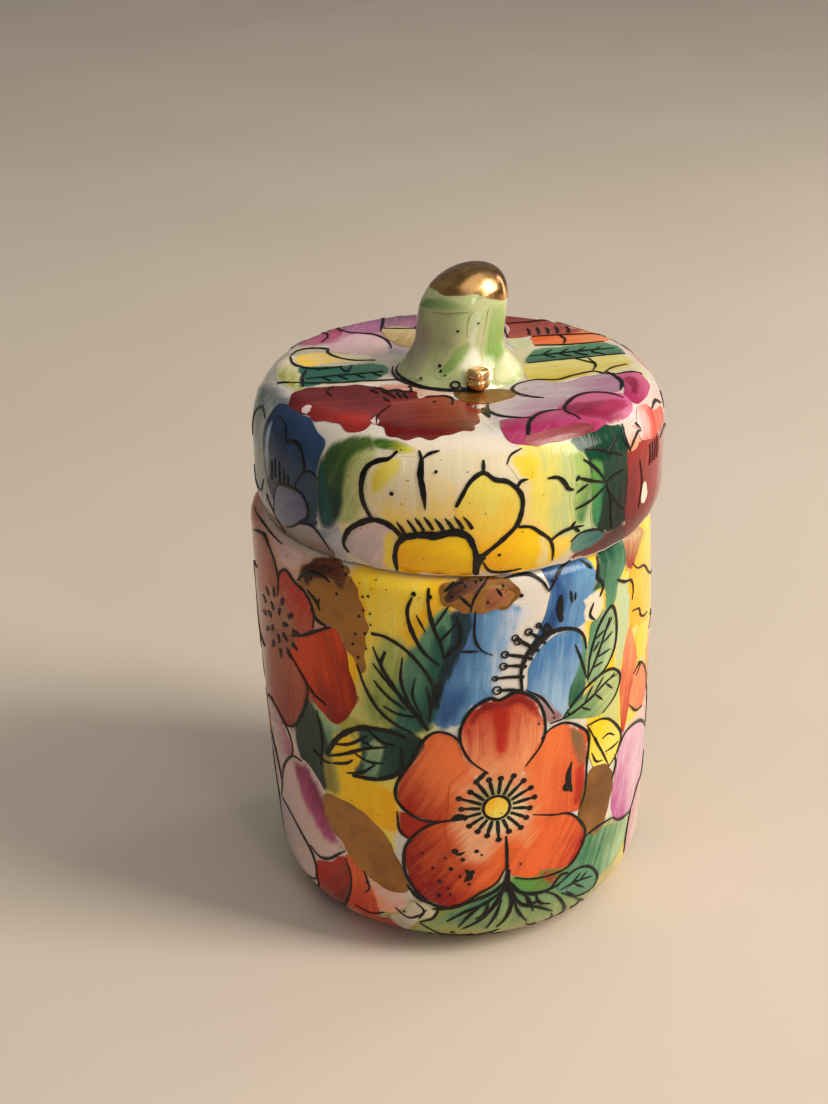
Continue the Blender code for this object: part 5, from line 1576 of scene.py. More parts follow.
def lid_dark_leaf(paint):
    """Dark green leaf with radiating veins at the right of the lid."""
    p = Painting("lid_dark_leaf", on_lid_side, "lid", 4)
    p.fill([(13, 0.5), (12.8, 1.6), (15, 2.4), (18, 3.4), (20.8, 3.2), (22.6, 1.6), (23, 0.4), (18, 0.35)],
            (0.06, 0.015, 0.012), (0.20, 0.03, 0.025), ((19, 2.6), (14, 0.8)), 20, 0.3)
    p.fill([(12.3, 13.8), (14.4, 14.2), (15.4, 11), (15, 7.6), (13.8, 5), (12.4, 5.6), (11.8, 8), (12, 11)],
            (0.04, 0.17, 0.05), (0.38, 0.50, 0.14), ((15, 8), (12.2, 10)), 85, 1.1)
    p.fill([(12.8, 15.2), (15, 16.3), (18.4, 16.6), (20.8, 15.6), (21.9, 13), (22, 9), (21.7, 4), (19, 2.9),
            (16.4, 3.2), (14.8, 5.6), (14.6, 10), (14, 12.8)], (0.002, 0.008, 0.005), (0.008, 0.055, 0.028),
            ((20, 6), (15.2, 12)), 85, 0.25)
    p.fill([(14.8, 12.4), (16.4, 12.2), (16.8, 9), (16.4, 5), (15.2, 4.4), (14.6, 8)], (0.03, 0.20, 0.08),
            LEAF, ((16.6, 8), (14.8, 9)), 85, 0.6)
    p.fill([(12.2, 3.3), (13.5, 4.1), (15.5, 3.9), (17, 3), (15.4, 1.9), (13, 1.7)], (0.03, 0.12, 0.11),
            (0.12, 0.26, 0.20), ((16, 3), (12.6, 3)), 10)
    hub = (17, 9.2)
    for path in (((13.8, 12.8), (15.4, 11.4), (16.8, 9.6)), ((12.7, 11), (14.6, 10.2), (16.6, 9.5)),
                 ((12.5, 7.3), (14.6, 7.8), (16.8, 8.9)), (hub, (18.2, 9.8), (20, 9.9)),
                 ((17.1, 9), (17.9, 7), (18, 5), (18.3, 3.3)),
                 ((14.4, 13.8), (16, 13.5), (18, 12.6), (19.8, 11.8)), ((17.2, 8.6), (18.8, 6.6), (20.4, 5)),
                 ((17.4, 12.8), (19, 13.6), (20, 14))):
        p.line(list(path), 0.46, (0.5, 0.6))
    p.line([(12.6, 9.2), (13.4, 9.6), (14.2, 9.9)], 0.42)
    p.line([(13, 11.2), (12.6, 10.6)], 0.5)
    p.line([(12, 3.4), (13.4, 4.2), (15.6, 4), (17.2, 3.1)], 0.36)
    p.line([(21.4, 15), (20.9, 13.4), (21.5, 11.6)], 0.7)
    p.finish(paint)


def lid_right_red(paint):
    """Pink and orange petals over crimson at the right edge, with a painted highlight on the crimson."""
    p = Painting("lid_right_red", on_lid_side, "lid", 7)
    p.fill([(20.8, 11.6), (22, 12.4), (24, 12), (27.4, 12), (30.4, 10), (30, 5), (27, 1.2), (22.6, 0.6),
            (20.8, 3), (20.9, 8)], (0.14, 0.008, 0.008), (0.32, 0.014, 0.012), ((22, 3), (28, 9)), 80)
    p.fill([(29.6, 12), (34, 12.4), (39, 10), (40, 5), (37, 1), (29, 0.5), (28.8, 5), (30, 9)],
            (0.30, 0.10, 0.09), (0.56, 0.42, 0.38), ((29, 6), (38, 7)), 60, 0.8)
    p.fill([(20.8, 13.8), (22.2, 14.6), (23.8, 13.4), (23.2, 11.8), (21.3, 11.7)], PALE_ORANGE, BLUSH,
            ((22, 12), (22, 14)), 50)
    p.fill([(24.2, 13.9), (26, 15.5), (28.6, 15.3), (30, 13.8), (33.4, 13.2), (33.6, 11.6), (29, 11.3),
            (26, 11.7), (24, 12.4)], (0.62, 0.045, 0.016), BLUSH, ((27.6, 12.4), (24.6, 14.6)), 70)
    # painted highlight: a small cream patch on the crimson
    p.fill([(24.4, 6.4), (25.4, 6.6), (25.8, 4.8), (25, 4), (24.2, 4.8)], CREAM, GLAZE_WHITE)
    p.line([(21.3, 11.8), (22.4, 12.6), (23.8, 13.3), (24.6, 13.2)], 0.5)
    p.line([(24, 14.4), (24.6, 13.4)], 0.4)
    p.line([(29.4, 14.2), (32, 14.4), (34.4, 13.2)], 0.45)
    for x in (27, 27.9, 28.8, 26.2):
        p.line([(x, 11), (x + 0.1, 9.6), (x - 0.1, 8.4)], 0.36, (0.9, 0.2))
    p.line([(23.4, 10), (24.2, 7), (23.6, 4)], 0.4)
    p.line([(30.2, 10.4), (34, 10.6), (37.4, 8.4), (38.6, 5)], 0.42)
    p.finish(paint)


# ---------------------------------------------------------------- motifs on top of the lid

def top_ground(paint):
    """Ground colours between the motifs on top of the lid."""
    p = Painting("top_ground", on_lid_top, "lid", -4)
    p.fill([(-23, 1), (-22.6, -5), (-19, -8), (-12, -6), (-5, -3.6), (-5, 4), (-8, 8), (-14, 8.6), (-21, 7)],
            (0.50, 0.46, 0.30), (0.70, 0.60, 0.50), ((-20, 0), (-8, 2)), 10, 1.6)
    p.order = -3
    p.fill([(-21.6, 7), (-14, 8), (-7, 5), (-3, 9), (4, 9), (7.4, 12), (7.6, 20), (3, 24.6), (-6, 24.8),
            (-14, 21.8), (-20, 15.4)], ROSE, LILAC, ((-16, 18), (-4, 9)), 50, 1.8)
    p.order = -4
    p.fill([(6.4, 8), (12, 10), (19, 13), (22.6, 9), (23.4, 0), (22, -5), (15, -4), (9, -7), (6.8, -3)],
            (0.60, 0.50, 0.20), (0.66, 0.60, 0.44), ((10, -3), (14, 9)), 20, 1.5)
    p.order = -3
    p.fill([(2, -18), (2, -12), (5, -8.4), (12, -9), (19, -8), (23, -5), (22.4, -11), (18, -17), (12, -21),
            (6, -23.4), (3, -21)], BLUSH, LILAC, ((18, -8), (6, -14)), 30, 1.5)
    p.finish(paint)


def top_crimson(paint):
    """Two crimson lobes at the front left of the top."""
    p = Painting("top_crimson", on_lid_top, "lid", 3)
    p.fill([(-9.6, -4.6), (-5, -4.2), (-1.5, -5.6), (-0.2, -8.4), (-2.6, -10), (-6, -10), (-9.4, -8)], SALMON,
            (0.66, 0.47, 0.38), ((-9, -8), (-4, -6)), 20, 1.4)
    p.fill([(-20, -9.5), (-18.6, -7.2), (-14, -5.5), (-10, -5.7), (-8.3, -7.2), (-5.4, -7.6), (-5, -10),
            (-7, -12), (-8.6, -15), (-10, -18.4), (-12, -19.3), (-13.9, -17.8), (-15, -16.6), (-17, -15.1),
            (-19, -12.6)], (0.12, 0.004, 0.004), (0.31, 0.026, 0.020), ((-14, -10), (-13, -18)), 12,
            ragged=0.18)
    p.fill([(-5.8, -10.6), (-4, -9.6), (-2, -9.4), (0, -11), (2, -11.8), (1.2, -13), (2.3, -14.4),
            (1.4, -15.8), (2, -17.4), (1, -19), (0.5, -21.1), (-2, -21.5), (-4.5, -22.1), (-7, -21.6),
            (-9, -20.1), (-10.3, -17.6), (-9.6, -14.6), (-8, -12.2)], (0.12, 0.005, 0.004),
            (0.29, 0.040, 0.022), ((-7, -21), (-1, -12)), 8, ragged=0.24)
    p.fill([(-14.4, -16.6), (-12, -18.6), (-10.6, -17.8), (-10, -15.4), (-12, -14.6), (-14, -15)],
            (0.30, 0.008, 0.006), (0.42, 0.03, 0.02), ((-12, -15), (-12, -18)), 10, 0.9)
    p.fill([(-18.4, -12.8), (-17.8, -12.1), (-17.2, -12.7), (-17.5, -13.6), (-18.2, -13.5)], BLUSH,
            GLAZE_WHITE)
    p.fill([(-9.9, -16.6), (-9.5, -17.9), (-9.9, -18.9), (-10.4, -17.8)], BLUSH, BLUSH)
    for x, y, dx, dy in ((-10.4, -6.6, 0.8, -1.6), (-9.3, -6.4, 0.9, -2.4), (-8.4, -7.3, 0.8, -2.8),
                         (-7.5, -7.3, 0.6, -2.8), (-6.7, -7.7, 0.5, -2.6), (-8.9, -9.9, 0.6, -1.4)):
        p.line([(x, y), (x + dx * 0.3, y + dy * 0.5), (x + dx, y + dy)], 0.38, (0.9, 0.2))
    p.line([(-10.6, -7.2), (-9.4, -6.3), (-8.6, -7.4), (-7.4, -7), (-6.6, -7.8), (-5.6, -7.6)], 0.36)
    p.line([(-4.2, -9.9), (-2, -9.5), (-1.1, -10.6), (-1.2, -12.6)], 0.44)
    p.line([(-9.8, -18.8), (-9.6, -16), (-8.2, -12.6)], 0.3)
    p.line([(-14.8, -6), (-15.6, -7.4), (-15, -9.4)], 0.26)
    for x, y in ((0.6, -12.6), (1.4, -13.4), (-6, -6.2), (-5.8, -7.2), (-3.2, -11.6)):
        p.dot((x, y), 0.2)
    p.finish(paint)


def top_left(paint):
    """Green and yellow strips and a pale petal at the left of the top."""
    p = Painting("top_left", on_lid_top, "lid")
    p.fill([(-22, 3), (-21.6, -3), (-19.4, -7.6), (-18, -6.4), (-18.6, -2), (-19.4, 2), (-19.8, 5)], OLIVE,
            CREAM, ((-22, -2), (-19, 0)), 80, 0.6)
    p.fill([(-19.5, 0.2), (-15, 1.4), (-10, 2.8), (-8.3, 1.2), (-8.7, -2), (-10.8, -3.8), (-15, -4.6),
            (-18.6, -6.5), (-19.1, -4), (-19, -2)], TEAL, SAGE, ((-13, -2), (-9, 1)), 8, 0.3)
    p.fill([(-19.6, 4.5), (-17, 6.1), (-14, 5.7), (-10.3, 5.2), (-10.8, 3), (-15, 2.2), (-18, 0.6),
            (-19.8, 2.3)], YELLOW, CREAM, ((-19, 2), (-11, 5)), 8, 0.5)
    p.fill([(-16.2, 7.2), (-14.6, 11), (-12.5, 13.1), (-10.4, 12.7), (-8.8, 11), (-8.2, 8), (-8.8, 5.8),
            (-12, 5.4), (-14.2, 6)], (0.66, 0.40, 0.46), BLUSH, ((-15, 11), (-10, 7)), 60, 0.4)
    p.line([(-20.4, 4), (-19.9, 1.5), (-18.5, 0.3), (-16, 0.2), (-14, 1.1)], 0.5)
    p.line([(-20.3, 4.4), (-19.6, 6.3), (-18, 7.3), (-16, 7.2), (-15.8, 5.7), (-14.4, 4.1), (-12.5, 3.4),
            (-10, 3.7)], 0.44)
    p.line([(-14.6, 14.6), (-13.3, 13.5), (-11.5, 13.1), (-10, 12.6), (-8.8, 11), (-8.1, 9), (-8, 7.8)], 0.42)
    p.line([(-20.4, -4.9), (-15, -4.7), (-10, -3.7), (-6.5, -3.5), (-5.4, -4.1)], 0.4)
    p.line([(-18.4, -6.2), (-18.6, -3), (-18.2, -0.4)], 0.45)
    p.line([(-18.2, -3.4), (-14, -1.9), (-9, -0.4)], 0.34)
    for x in (-16.4, -14.4, -12.4, -10.4):
        p.line([(x, -2.6 + 0.3 * (x + 16)), (x + 1.2, -3.9 + 0.3 * (x + 16))], 0.28)
    p.line([(-14.2, 0.8), (-13.4, -0.6), (-12.8, 1.6)], 0.4)
    p.line([(-17, -0.4), (-15.6, 0.6)], 0.4)
    p.line([(-21.6, -4.2), (-20, -4.9)], 0.4)
    p.line([(-5.9, -6), (-5.7, -6.8)], 0.3)
    p.line([(0.1 + 8.05 * sin(a), -8.05 * cos(a)) for a in np.linspace(-1.75, 0.1, 9)], 0.5, (0.3, 0.8))
    p.finish(paint)


def top_back_left(paint):
    """Plum and magenta petals behind the finial at the left."""
    p = Painting("top_back_left", on_lid_top, "lid", 4)
    p.fill([(-20, 10), (-18, 8.8), (-15.5, 10.5), (-14.3, 13), (-14.6, 17), (-15.6, 20.4), (-18, 17.6),
            (-19.6, 13.6)], MAGENTA, ROSE, ((-17, 16), (-17, 10)), 60)
    p.fill([(-14.5, 15), (-13.6, 19), (-11.5, 21.6), (-9.4, 22.9), (-9.1, 18), (-9.3, 14), (-11.5, 13.4),
            (-13.5, 13.6)], PLUM, (0.42, 0.16, 0.28), ((-13, 20), (-11, 14)), 80)
    p.fill([(-9.2, 23.8), (-5, 24.4), (-4.1, 20), (-4.3, 15), (-8.5, 15.2), (-9.1, 18)], (0.14, 0.04, 0.08),
            (0.36, 0.16, 0.24), ((-8, 22), (-5, 16)), 85)
    p.fill([(-9.1, 15.1), (-5, 14.9), (-4.7, 9), (-6.5, 8.4), (-8.3, 11)], (0.42, 0.28, 0.10),
            (0.58, 0.46, 0.24), ((-8, 10), (-6, 15)), 70)
    p.fill([(-6.6, 23.4), (-4.2, 24.4), (2, 24.8), (7.4, 24.6), (7, 21), (2, 19), (-3.4, 18.6)], ROSE, LILAC,
            ((0, 24), (0, 19)), 0, 0.5)
    p.fill([(-4.4, 18.4), (2, 18.8), (6.6, 17), (6.6, 11.8), (2, 9.4), (-4, 9)], MAGENTA, ROSE,
            ((0, 10), (1, 18)), 30, 0.6)
    p.line([(-20.6, 9.6), (-20.4, 13), (-18.6, 17.8), (-16, 21)], 0.5)
    p.line([(-14.4, 13.6), (-14.8, 16.6), (-13.4, 20.2), (-10.6, 22.8)], 0.5)
    p.line([(-9.3, 14), (-9, 18.4), (-9.3, 22.6)], 0.5)
    p.line([(-9.2, 15), (-4.6, 14.8)], 0.4)
    p.line([(-16.8, 9.4), (-16, 12), (-17, 14.6)], 0.34)
    p.line([(-8.8, 24.4), (-6, 22.6), (-2, 21.8), (2.4, 22.8), (6.8, 24.8)], 0.45)
    p.finish(paint)


def top_back_right(paint):
    """Dark red flower, green leaf and ochre ground at the right of the top."""
    p = Painting("top_back_right", on_lid_top, "lid")
    p.fill([(7, 24.2), (10, 24.4), (14, 22.3), (17, 19), (19.4, 14), (18.4, 11), (14, 11.3), (10, 11.8),
            (6.6, 11.4), (6.6, 16)], (0.20, 0.02, 0.015), (0.40, 0.08, 0.05), ((12, 22), (12, 12)), 60)
    p.fill([(9.6, 10.9), (14, 11.8), (18, 12.2), (19.4, 9.6), (18.5, 8), (14, 7.9), (10, 8.4)], ORANGE,
            PALE_ORANGE, ((11, 12), (17, 8)), 10)
    p.fill([(6.6, 11), (9.6, 10.6), (9.6, 8), (7.4, 7.6)], CREAM, PALE_GREEN, soft=0.4)
    p.fill([(10.3, 6.9), (14, 7.4), (18, 8), (19.9, 6.5), (20.6, 3.4), (16, 2.9), (12, 2.2), (8.4, 1.8),
            (8.6, 4.5)], (0.05, 0.12, 0.07), SAGE, ((15, 3), (15, 7)), 8, 0.3)
    p.fill([(7.8, 0.6), (9.5, 2), (15, 2.6), (20.3, 3), (21.1, 0), (19.2, -2), (16, -3), (13, -4.9),
            (10.5, -6), (8.3, -5), (7.9, -2)], (0.60, 0.44, 0.06), (0.70, 0.62, 0.22), ((12, -4), (12, 2)),
            20, 0.3)
    for i, x in enumerate((9.6, 10.8, 12, 13.2, 14.6)):
        p.line([(x, 12.2), (x + 0.1, 13.4), (x - 0.1, 14.6 + 0.3 * (i % 2))], 0.4, (0.9, 0.2))
    p.line([(7, -5.4), (9, -4.4), (11.5, -4.7), (13.5, -3.4), (16, -2.3), (17.3, -3.2), (18.5, -3.5)], 0.44)
    p.line([(16, -2.2), (16.6, 0), (16, 2.4)], 0.36)
    p.line([(17.4, -2.6), (18.6, -1.2), (20.4, -0.4)], 0.36)
    p.line([(14.4, 2.4), (15.8, 1.2), (16.6, 0.2)], 0.34)
    p.line([(13.6, 8), (13.9, 9.8), (13.2, 11.6)], 0.36)
    p.line([(6.8, 24.6), (10.4, 24.8), (14.4, 22.6), (17.4, 19.2), (19.8, 14), (18.7, 10.8)], 0.44)
    p.line([(6.6, 23.6), (6.4, 18), (6.8, 11.4)], 0.4)
    p.line([(9.8, 11.4), (14, 11.4), (18.6, 11.2)], 0.32)
    p.line([(9.9, 8), (14, 7.7), (18.6, 8)], 0.32)
    p.line([(8.6, 1.9), (12, 2.4), (16, 2.8), (20.6, 3.3)], 0.34)
    p.line([(8.9, 4.2), (14, 5), (19.6, 5.4)], 0.36)
    for x in (10.6, 12.6, 14.6, 16.6):
        p.line([(x, 4.6), (x + 1.4, 6.3)], 0.3)
        p.line([(x, 4.6), (x + 1.5, 3.4)], 0.3)
    p.line([(7, 16.8), (11, 17.4), (15.4, 20.4)], 0.36)
    p.finish(paint)


def top_magenta(paint):
    """Lilac and magenta petals at the front right of the top."""
    p = Painting("top_magenta", on_lid_top, "lid", 6)
    p.fill([(6.1, -7), (7, -5.3), (9, -4.6), (12, -5.6), (15, -3.9), (17.5, -3.4), (18.6, -6), (18.1, -9.6),
            (14, -9.8), (12.3, -11.5), (9, -10.8), (6.7, -9.4)], MAUVE, LILAC, ((17, -9), (11, -7)), 20)
    p.fill([(2.8, -13.6), (4.5, -11.9), (8, -10.9), (12.2, -11.1), (11.6, -14), (10.7, -15.2), (8.5, -15.6),
            (7, -17.4), (5, -16.8), (3.2, -15.3)], MAUVE, LILAC, ((10, -16), (6, -12)), 20)
    p.fill([(4, -18), (6.5, -17.3), (8.5, -15.3), (10.6, -15), (12, -11.5), (14, -9.7), (16.5, -9.9),
            (18.6, -10.4), (19.6, -11.5), (19.4, -13.6), (17.4, -15.8), (14.8, -18.4), (12, -20.5),
            (9, -21.9), (6.5, -22.8), (4.4, -22.2), (3.8, -20)], (0.35, 0.024, 0.10), (0.56, 0.12, 0.24),
            ((12, -20), (12, -13)), 55)
    p.fill([(10.6, -14), (11.2, -17), (14, -17.4), (17.4, -16.4), (19.2, -13), (18.6, -11.4), (15.6, -12),
            (13, -12.6)], (0.22, 0.010, 0.040), (0.38, 0.035, 0.10), ((14, -17.6), (15, -12)), 60, 1.1)
    p.fill([(6.4, -22), (8.6, -20.4), (11.4, -19.2), (13.4, -18), (14.6, -18.4), (13.4, -19.6), (10.4, -21.4),
            (7.6, -22.6)], (0.20, 0.035, 0.04), (0.34, 0.08, 0.085), ((15, -18), (8, -22)), 30)
    p.fill([(18.5, -4), (21, -3), (22.6, -5), (21.7, -9), (20, -11.2), (18.8, -10.4), (18.9, -7)],
            (0.35, 0.024, 0.10), (0.56, 0.12, 0.24), ((20, -10), (20, -4)), 80)
    p.fill([(19.2, -5), (20.6, -4.6), (21.2, -6.4), (20.6, -9), (19.6, -9.6), (19.3, -7.4)],
            (0.16, 0.006, 0.02), (0.32, 0.02, 0.07), ((20, -9), (20, -5)), 80, 0.6)
    p.line([(9.4, -10.9), (7.2, -9.6), (6, -7.6), (6.6, -5.8), (8, -4.8)], 0.5)
    p.line([(2.9, -12.2), (2.8, -14.5), (4, -16.4), (6.2, -17.3), (7.4, -17.3)], 0.5)
    p.line([(2.2, -13.8), (2.5, -15.4), (2.8, -17)], 0.9, (0.5, 0.2))
    p.line([(6.7, -21.4), (7.1, -18.6), (8.2, -16.4), (9.5, -15.4), (11, -15.2)], 0.62, (0.8, 0.4))
    p.line([(12.8, -17.7), (11.5, -16), (11.5, -14), (12.9, -11), (14.5, -9.8), (16.5, -9.9), (18.4, -11.4)],
            0.6)
    p.line([(17.6, -2.6), (18.4, -4.4), (18.9, -6.6), (18.4, -9.2)], 0.6)
    p.line([(18.2, -3.9), (20, -3.2), (21.8, -3)], 0.5)
    p.finish(paint)


def top_back_flower(paint):
    """Pale flower on the top behind the finial."""
    p = Painting("top_back_flower", on_lid_top, "lid", 10)
    flower(p, (0.2, 14.8), 5.0, ROSE, BLUSH, YELLOW, 0.35, 12)
    p.finish(paint)


def top_gold(paint):
    """Gold dab at the foot of the finial, where its bud is."""
    p = Painting("top_gold", on_lid_top, "lid", 13)
    p.fill([(-0.8, -8), (1, -6.6), (3, -7), (5.2, -7.2), (6.3, -9), (4.8, -11), (2.6, -12.2), (0.4, -11.4),
            (-0.7, -9.6)], GOLD, GOLD, kind="gold")
    p.finish(paint)


# ---------------------------------------------------------------- marks on the finial

def finial_marks(paint):
    """Pools in the finial's glaze, painted shade at its left, painted highlights, and the black marks on it.
    """
    p = Painting("finial_marks", on_finial, "lid", -2)
    # painted shade: a duller brownish grey down the finial's left side, away from the light
    p.fill([(-9, 1), (-8.6, 5), (-8, 9), (-5, 9), (-3, 6), (-3.4, 2), (-4, 0.6), (-7, 0.4)],
            (0.36, 0.31, 0.20), (0.46, 0.43, 0.27), ((-8, 4), (-3, 4)), 90, 2.2)
    p.fill([(2.4, 2.4), (2.6, 6), (2.8, 9), (5, 9), (6.4, 7), (6, 3.6), (4.6, 2.2)], (0.22, 0.36, 0.08),
            (0.36, 0.49, 0.17), ((4, 3), (4, 8)), 90, 1.1)
    # painted highlight: a pale streak up the front of the stem to its foot
    p.fill([(-0.4, 2.2), (0.3, 4.4), (0.5, 8.4), (1.9, 8.7), (1.8, 5.6), (2.1, 3.6), (2.2, 2.4), (0.9, 1.7)],
            (0.55, 0.60, 0.36), (0.80, 0.80, 0.62), ((0.2, 8), (1.4, 3)), 90, 0.6)
    p.fill([(-2.4, 1.6), (-1.2, 4.6), (0.8, 5.6), (1.6, 4.4), (0.2, 2.6), (-1, 1.2)], (0.20, 0.32, 0.08),
            (0.34, 0.45, 0.14), ((-2, 2), (1, 5)), 50, 1.0)
    # painted highlight: pale cream on the right of the foot's flare
    p.fill([(3.2, 0.5), (3.6, 2.2), (5.6, 3.2), (8, 2.4), (8.4, 0.6), (5.6, 0.25)], (0.66, 0.66, 0.36),
            (0.76, 0.73, 0.46), ((4, 1), (7, 2)), 0, 0.9)
    p.fill([(-7.4, 8.2), (-6.4, 9.6), (-3.6, 10.2), (-0.6, 9.9), (0.6, 9.2), (-1.6, 8.7), (-4.6, 8.2)],
            (0.10, 0.22, 0.06), (0.30, 0.42, 0.15), ((-5, 10), (-3, 8.4)), 0, 0.9)
    p.line([(STEM_RADIUS * a, 0.16) for a in np.linspace(-1.9, 0.25, 10)], 0.42, (0.3, 0.9))
    p.line([(-0.5 + 0.36 * cos(a), 0.75 + 0.32 * sin(a)) for a in np.linspace(0, 2 * pi, 9)], 0.2, (1, 1))
    p.line([(-0.1, 0.5), (0.3, 0.36), (1.4, 0.3)], 0.42)
    for x, y, r in ((-2.1, 2.5, 0.2), (-1.9, 2.0, 0.16), (-3.6, 0.9, 0.12), (-0.6, 6.6, 0.16),
                    (1.6, 7.4, 0.12), (-1.4, 1.6, 0.1)):
        p.dot((x, y), r)
    p.finish(paint)


# ---------------------------------------------------------------- motifs on the far sides

def petal(centre, turn, size, spread):
    """A heart-shaped petal that points away from centre at the angle turn."""
    shape = ((0.16, -1.0), (0.36, -1.0), (0.60, -1.0), (0.84, -0.98), (1.0, -0.62), (1.02, -0.2), (0.95, 0.0),
             (1.03, 0.25), (0.99, 0.66), (0.82, 1.0), (0.58, 1.0), (0.36, 1.0), (0.16, 1.0))
    points = []
    for reach, side in shape:
        angle = turn + side * spread
        points.append((centre[0] + size * reach * cos(angle), centre[1] + size * reach * sin(angle)))
    return points


def flower(p, centre, size, dark, light, middle, turn, heads):
    """An open flower: five outlined petals that darken outward, round a ring of stamens."""
    spread = pi / 5 * 0.99
    level = p.order
    for i, layer in enumerate((0, 1, 0, 1, 2)):
        p.order = level + layer
        angle = turn + 2 * pi * i / 5
        grow = 1 + 0.07 * sin(2.7 * i + centre[0])
        points = petal(centre, angle, size * grow, spread)
        outer = (centre[0] + size * cos(angle), centre[1] + size * sin(angle))
        inner = (centre[0] + 0.35 * size * cos(angle), centre[1] + 0.35 * size * sin(angle))
        p.fill(points, dark, light, (outer, inner), degrees(angle))
        p.line(points, 0.5, (0.4, 0.4))
    p.order = level + 3
    heart = [(x, y) for (x, y), _ in around(centre, 0.42 * size, 9)]
    p.fill(heart, (0.50, 0.42, 0.16), CREAM, (centre, heart[0]), 45, 1.6)
    disc = [(x, y) for (x, y), _ in around(centre, 0.13 * size, 8)]
    p.fill(disc, middle, LEMON, (disc[0], disc[4]), 90, ragged=0.02)
    p.line(disc + disc[:1], 0.4, (1, 1))
    stamens(p, centre, 0.17 * size, 0.42 * size, heads, 0.2, 0.44, 0.32)


def leaf(p, base, tip, width, dark, light):
    """A pointed leaf with a drawn edge, midrib and side veins."""
    base, tip = np.array(base, float), np.array(tip, float)
    run = tip - base
    side = np.array([-run[1], run[0]]) / np.hypot(*run)
    left = [base + run * t + side * width * h
            for t, h in ((0.2, 0.62), (0.45, 1.0), (0.72, 0.78), (0.92, 0.3))]
    right = [base + run * t - side * width * h
             for t, h in ((0.88, 0.34), (0.68, 0.8), (0.42, 0.95), (0.18, 0.55))]
    p.fill([base, *left, tip, *right], dark, light, (base - side * width, tip + side * width),
           degrees(np.arctan2(run[1], run[0])))
    p.line([base, *left, tip], 0.42, (0.6, 0.4))
    p.line([tip, *right, base], 0.42, (0.4, 0.6))
    p.line([base - run * 0.12, base + run * 0.45 + side * 0.1, base + run * 0.86], 0.44, (1, 0.3))
    for i in range(4):
        t = 0.16 + 0.62 * i / 4
        for way in (1, -1):
            p.line([base + run * t, base + run * (t + 0.17) + side * way * width * 0.62], 0.3)


def wash(p, centre, reach, dark, light, turn):
    """A soft-edged ground colour."""
    points = []
    for i, share in enumerate((1, 0.86, 1.04, 0.9, 1.02, 0.84, 1, 0.92)):
        angle = turn + 2 * pi * i / 8
        points.append((centre[0] + reach[0] * share * cos(angle), centre[1] + reach[1] * share * sin(angle)))
    p.fill(points, dark, light, (points[1], points[5]), 90, 2.6)


def gold_dab(p, centre, reach, turn):
    """An uneven oval of gold."""
    points = []
    for i, share in enumerate((1, 0.9, 0.96, 1.04, 0.94, 0.88, 1, 1.05)):
        angle = 2 * pi * i / 8
        x, y = reach[0] * share * cos(angle), reach[1] * share * sin(angle)
        points.append((centre[0] + x * cos(turn) - y * sin(turn), centre[1] + x * sin(turn) + y * cos(turn)))
    p.fill(points, GOLD, GOLD, kind="gold")


def far_ground(paint, name, surface, body, columns, rows, reach, colours):
    """Overlapping washes of ground colour in a loose grid."""
    p = Painting(name, surface, body)
    for i, x in enumerate(columns):
        for j, y in enumerate(rows):
            dark, light = colours[(3 * i + 2 * j) % len(colours)]
            p.order = -3.5 + 2 * (i % 2) + j % 2      # no two washes that overlap are at one height
            shift = 1.2 * sin(2.3 * i + 4.1 * j)
            wash(p, (x + shift, y + shift * 0.5 * (-1) ** i), reach, dark, light, 0.5 * i + 0.9 * j)
    p.finish(paint)


def jar_far_ground(paint):
    colours = ((YELLOW, LEMON), (TEAL, SAGE), (LEMON, CREAM), (SKY, PALE_BLUE), (OLIVE, PALE_GREEN),
               (SALMON, BLUSH), (YELLOW, PALE_GREEN))
    far_ground(paint, "jar_far_ground", on_jar, "jar", (46, 56, 66, 76, 86, 96, 106), (49, 36, 23, 10, -1),
               (8, 8.4), colours)


def far_group(paint, name, surface, body, start, flowers, leaves, dabs):
    """Flowers over leaves, with dabs of gold: what flower, leaf and gold_dab are given after p. The flowers
    of a group don't overlap, so they share one level."""
    p = Painting(name, surface, body, start)
    for base, tip, width, dark, light in leaves:
        leaf(p, base, tip, width, dark, light)
    level = p.order
    for spec in flowers:
        p.order = level
        flower(p, *spec)
    for centre, reach, turn in dabs:
        gold_dab(p, centre, reach, turn)
    p.finish(paint)


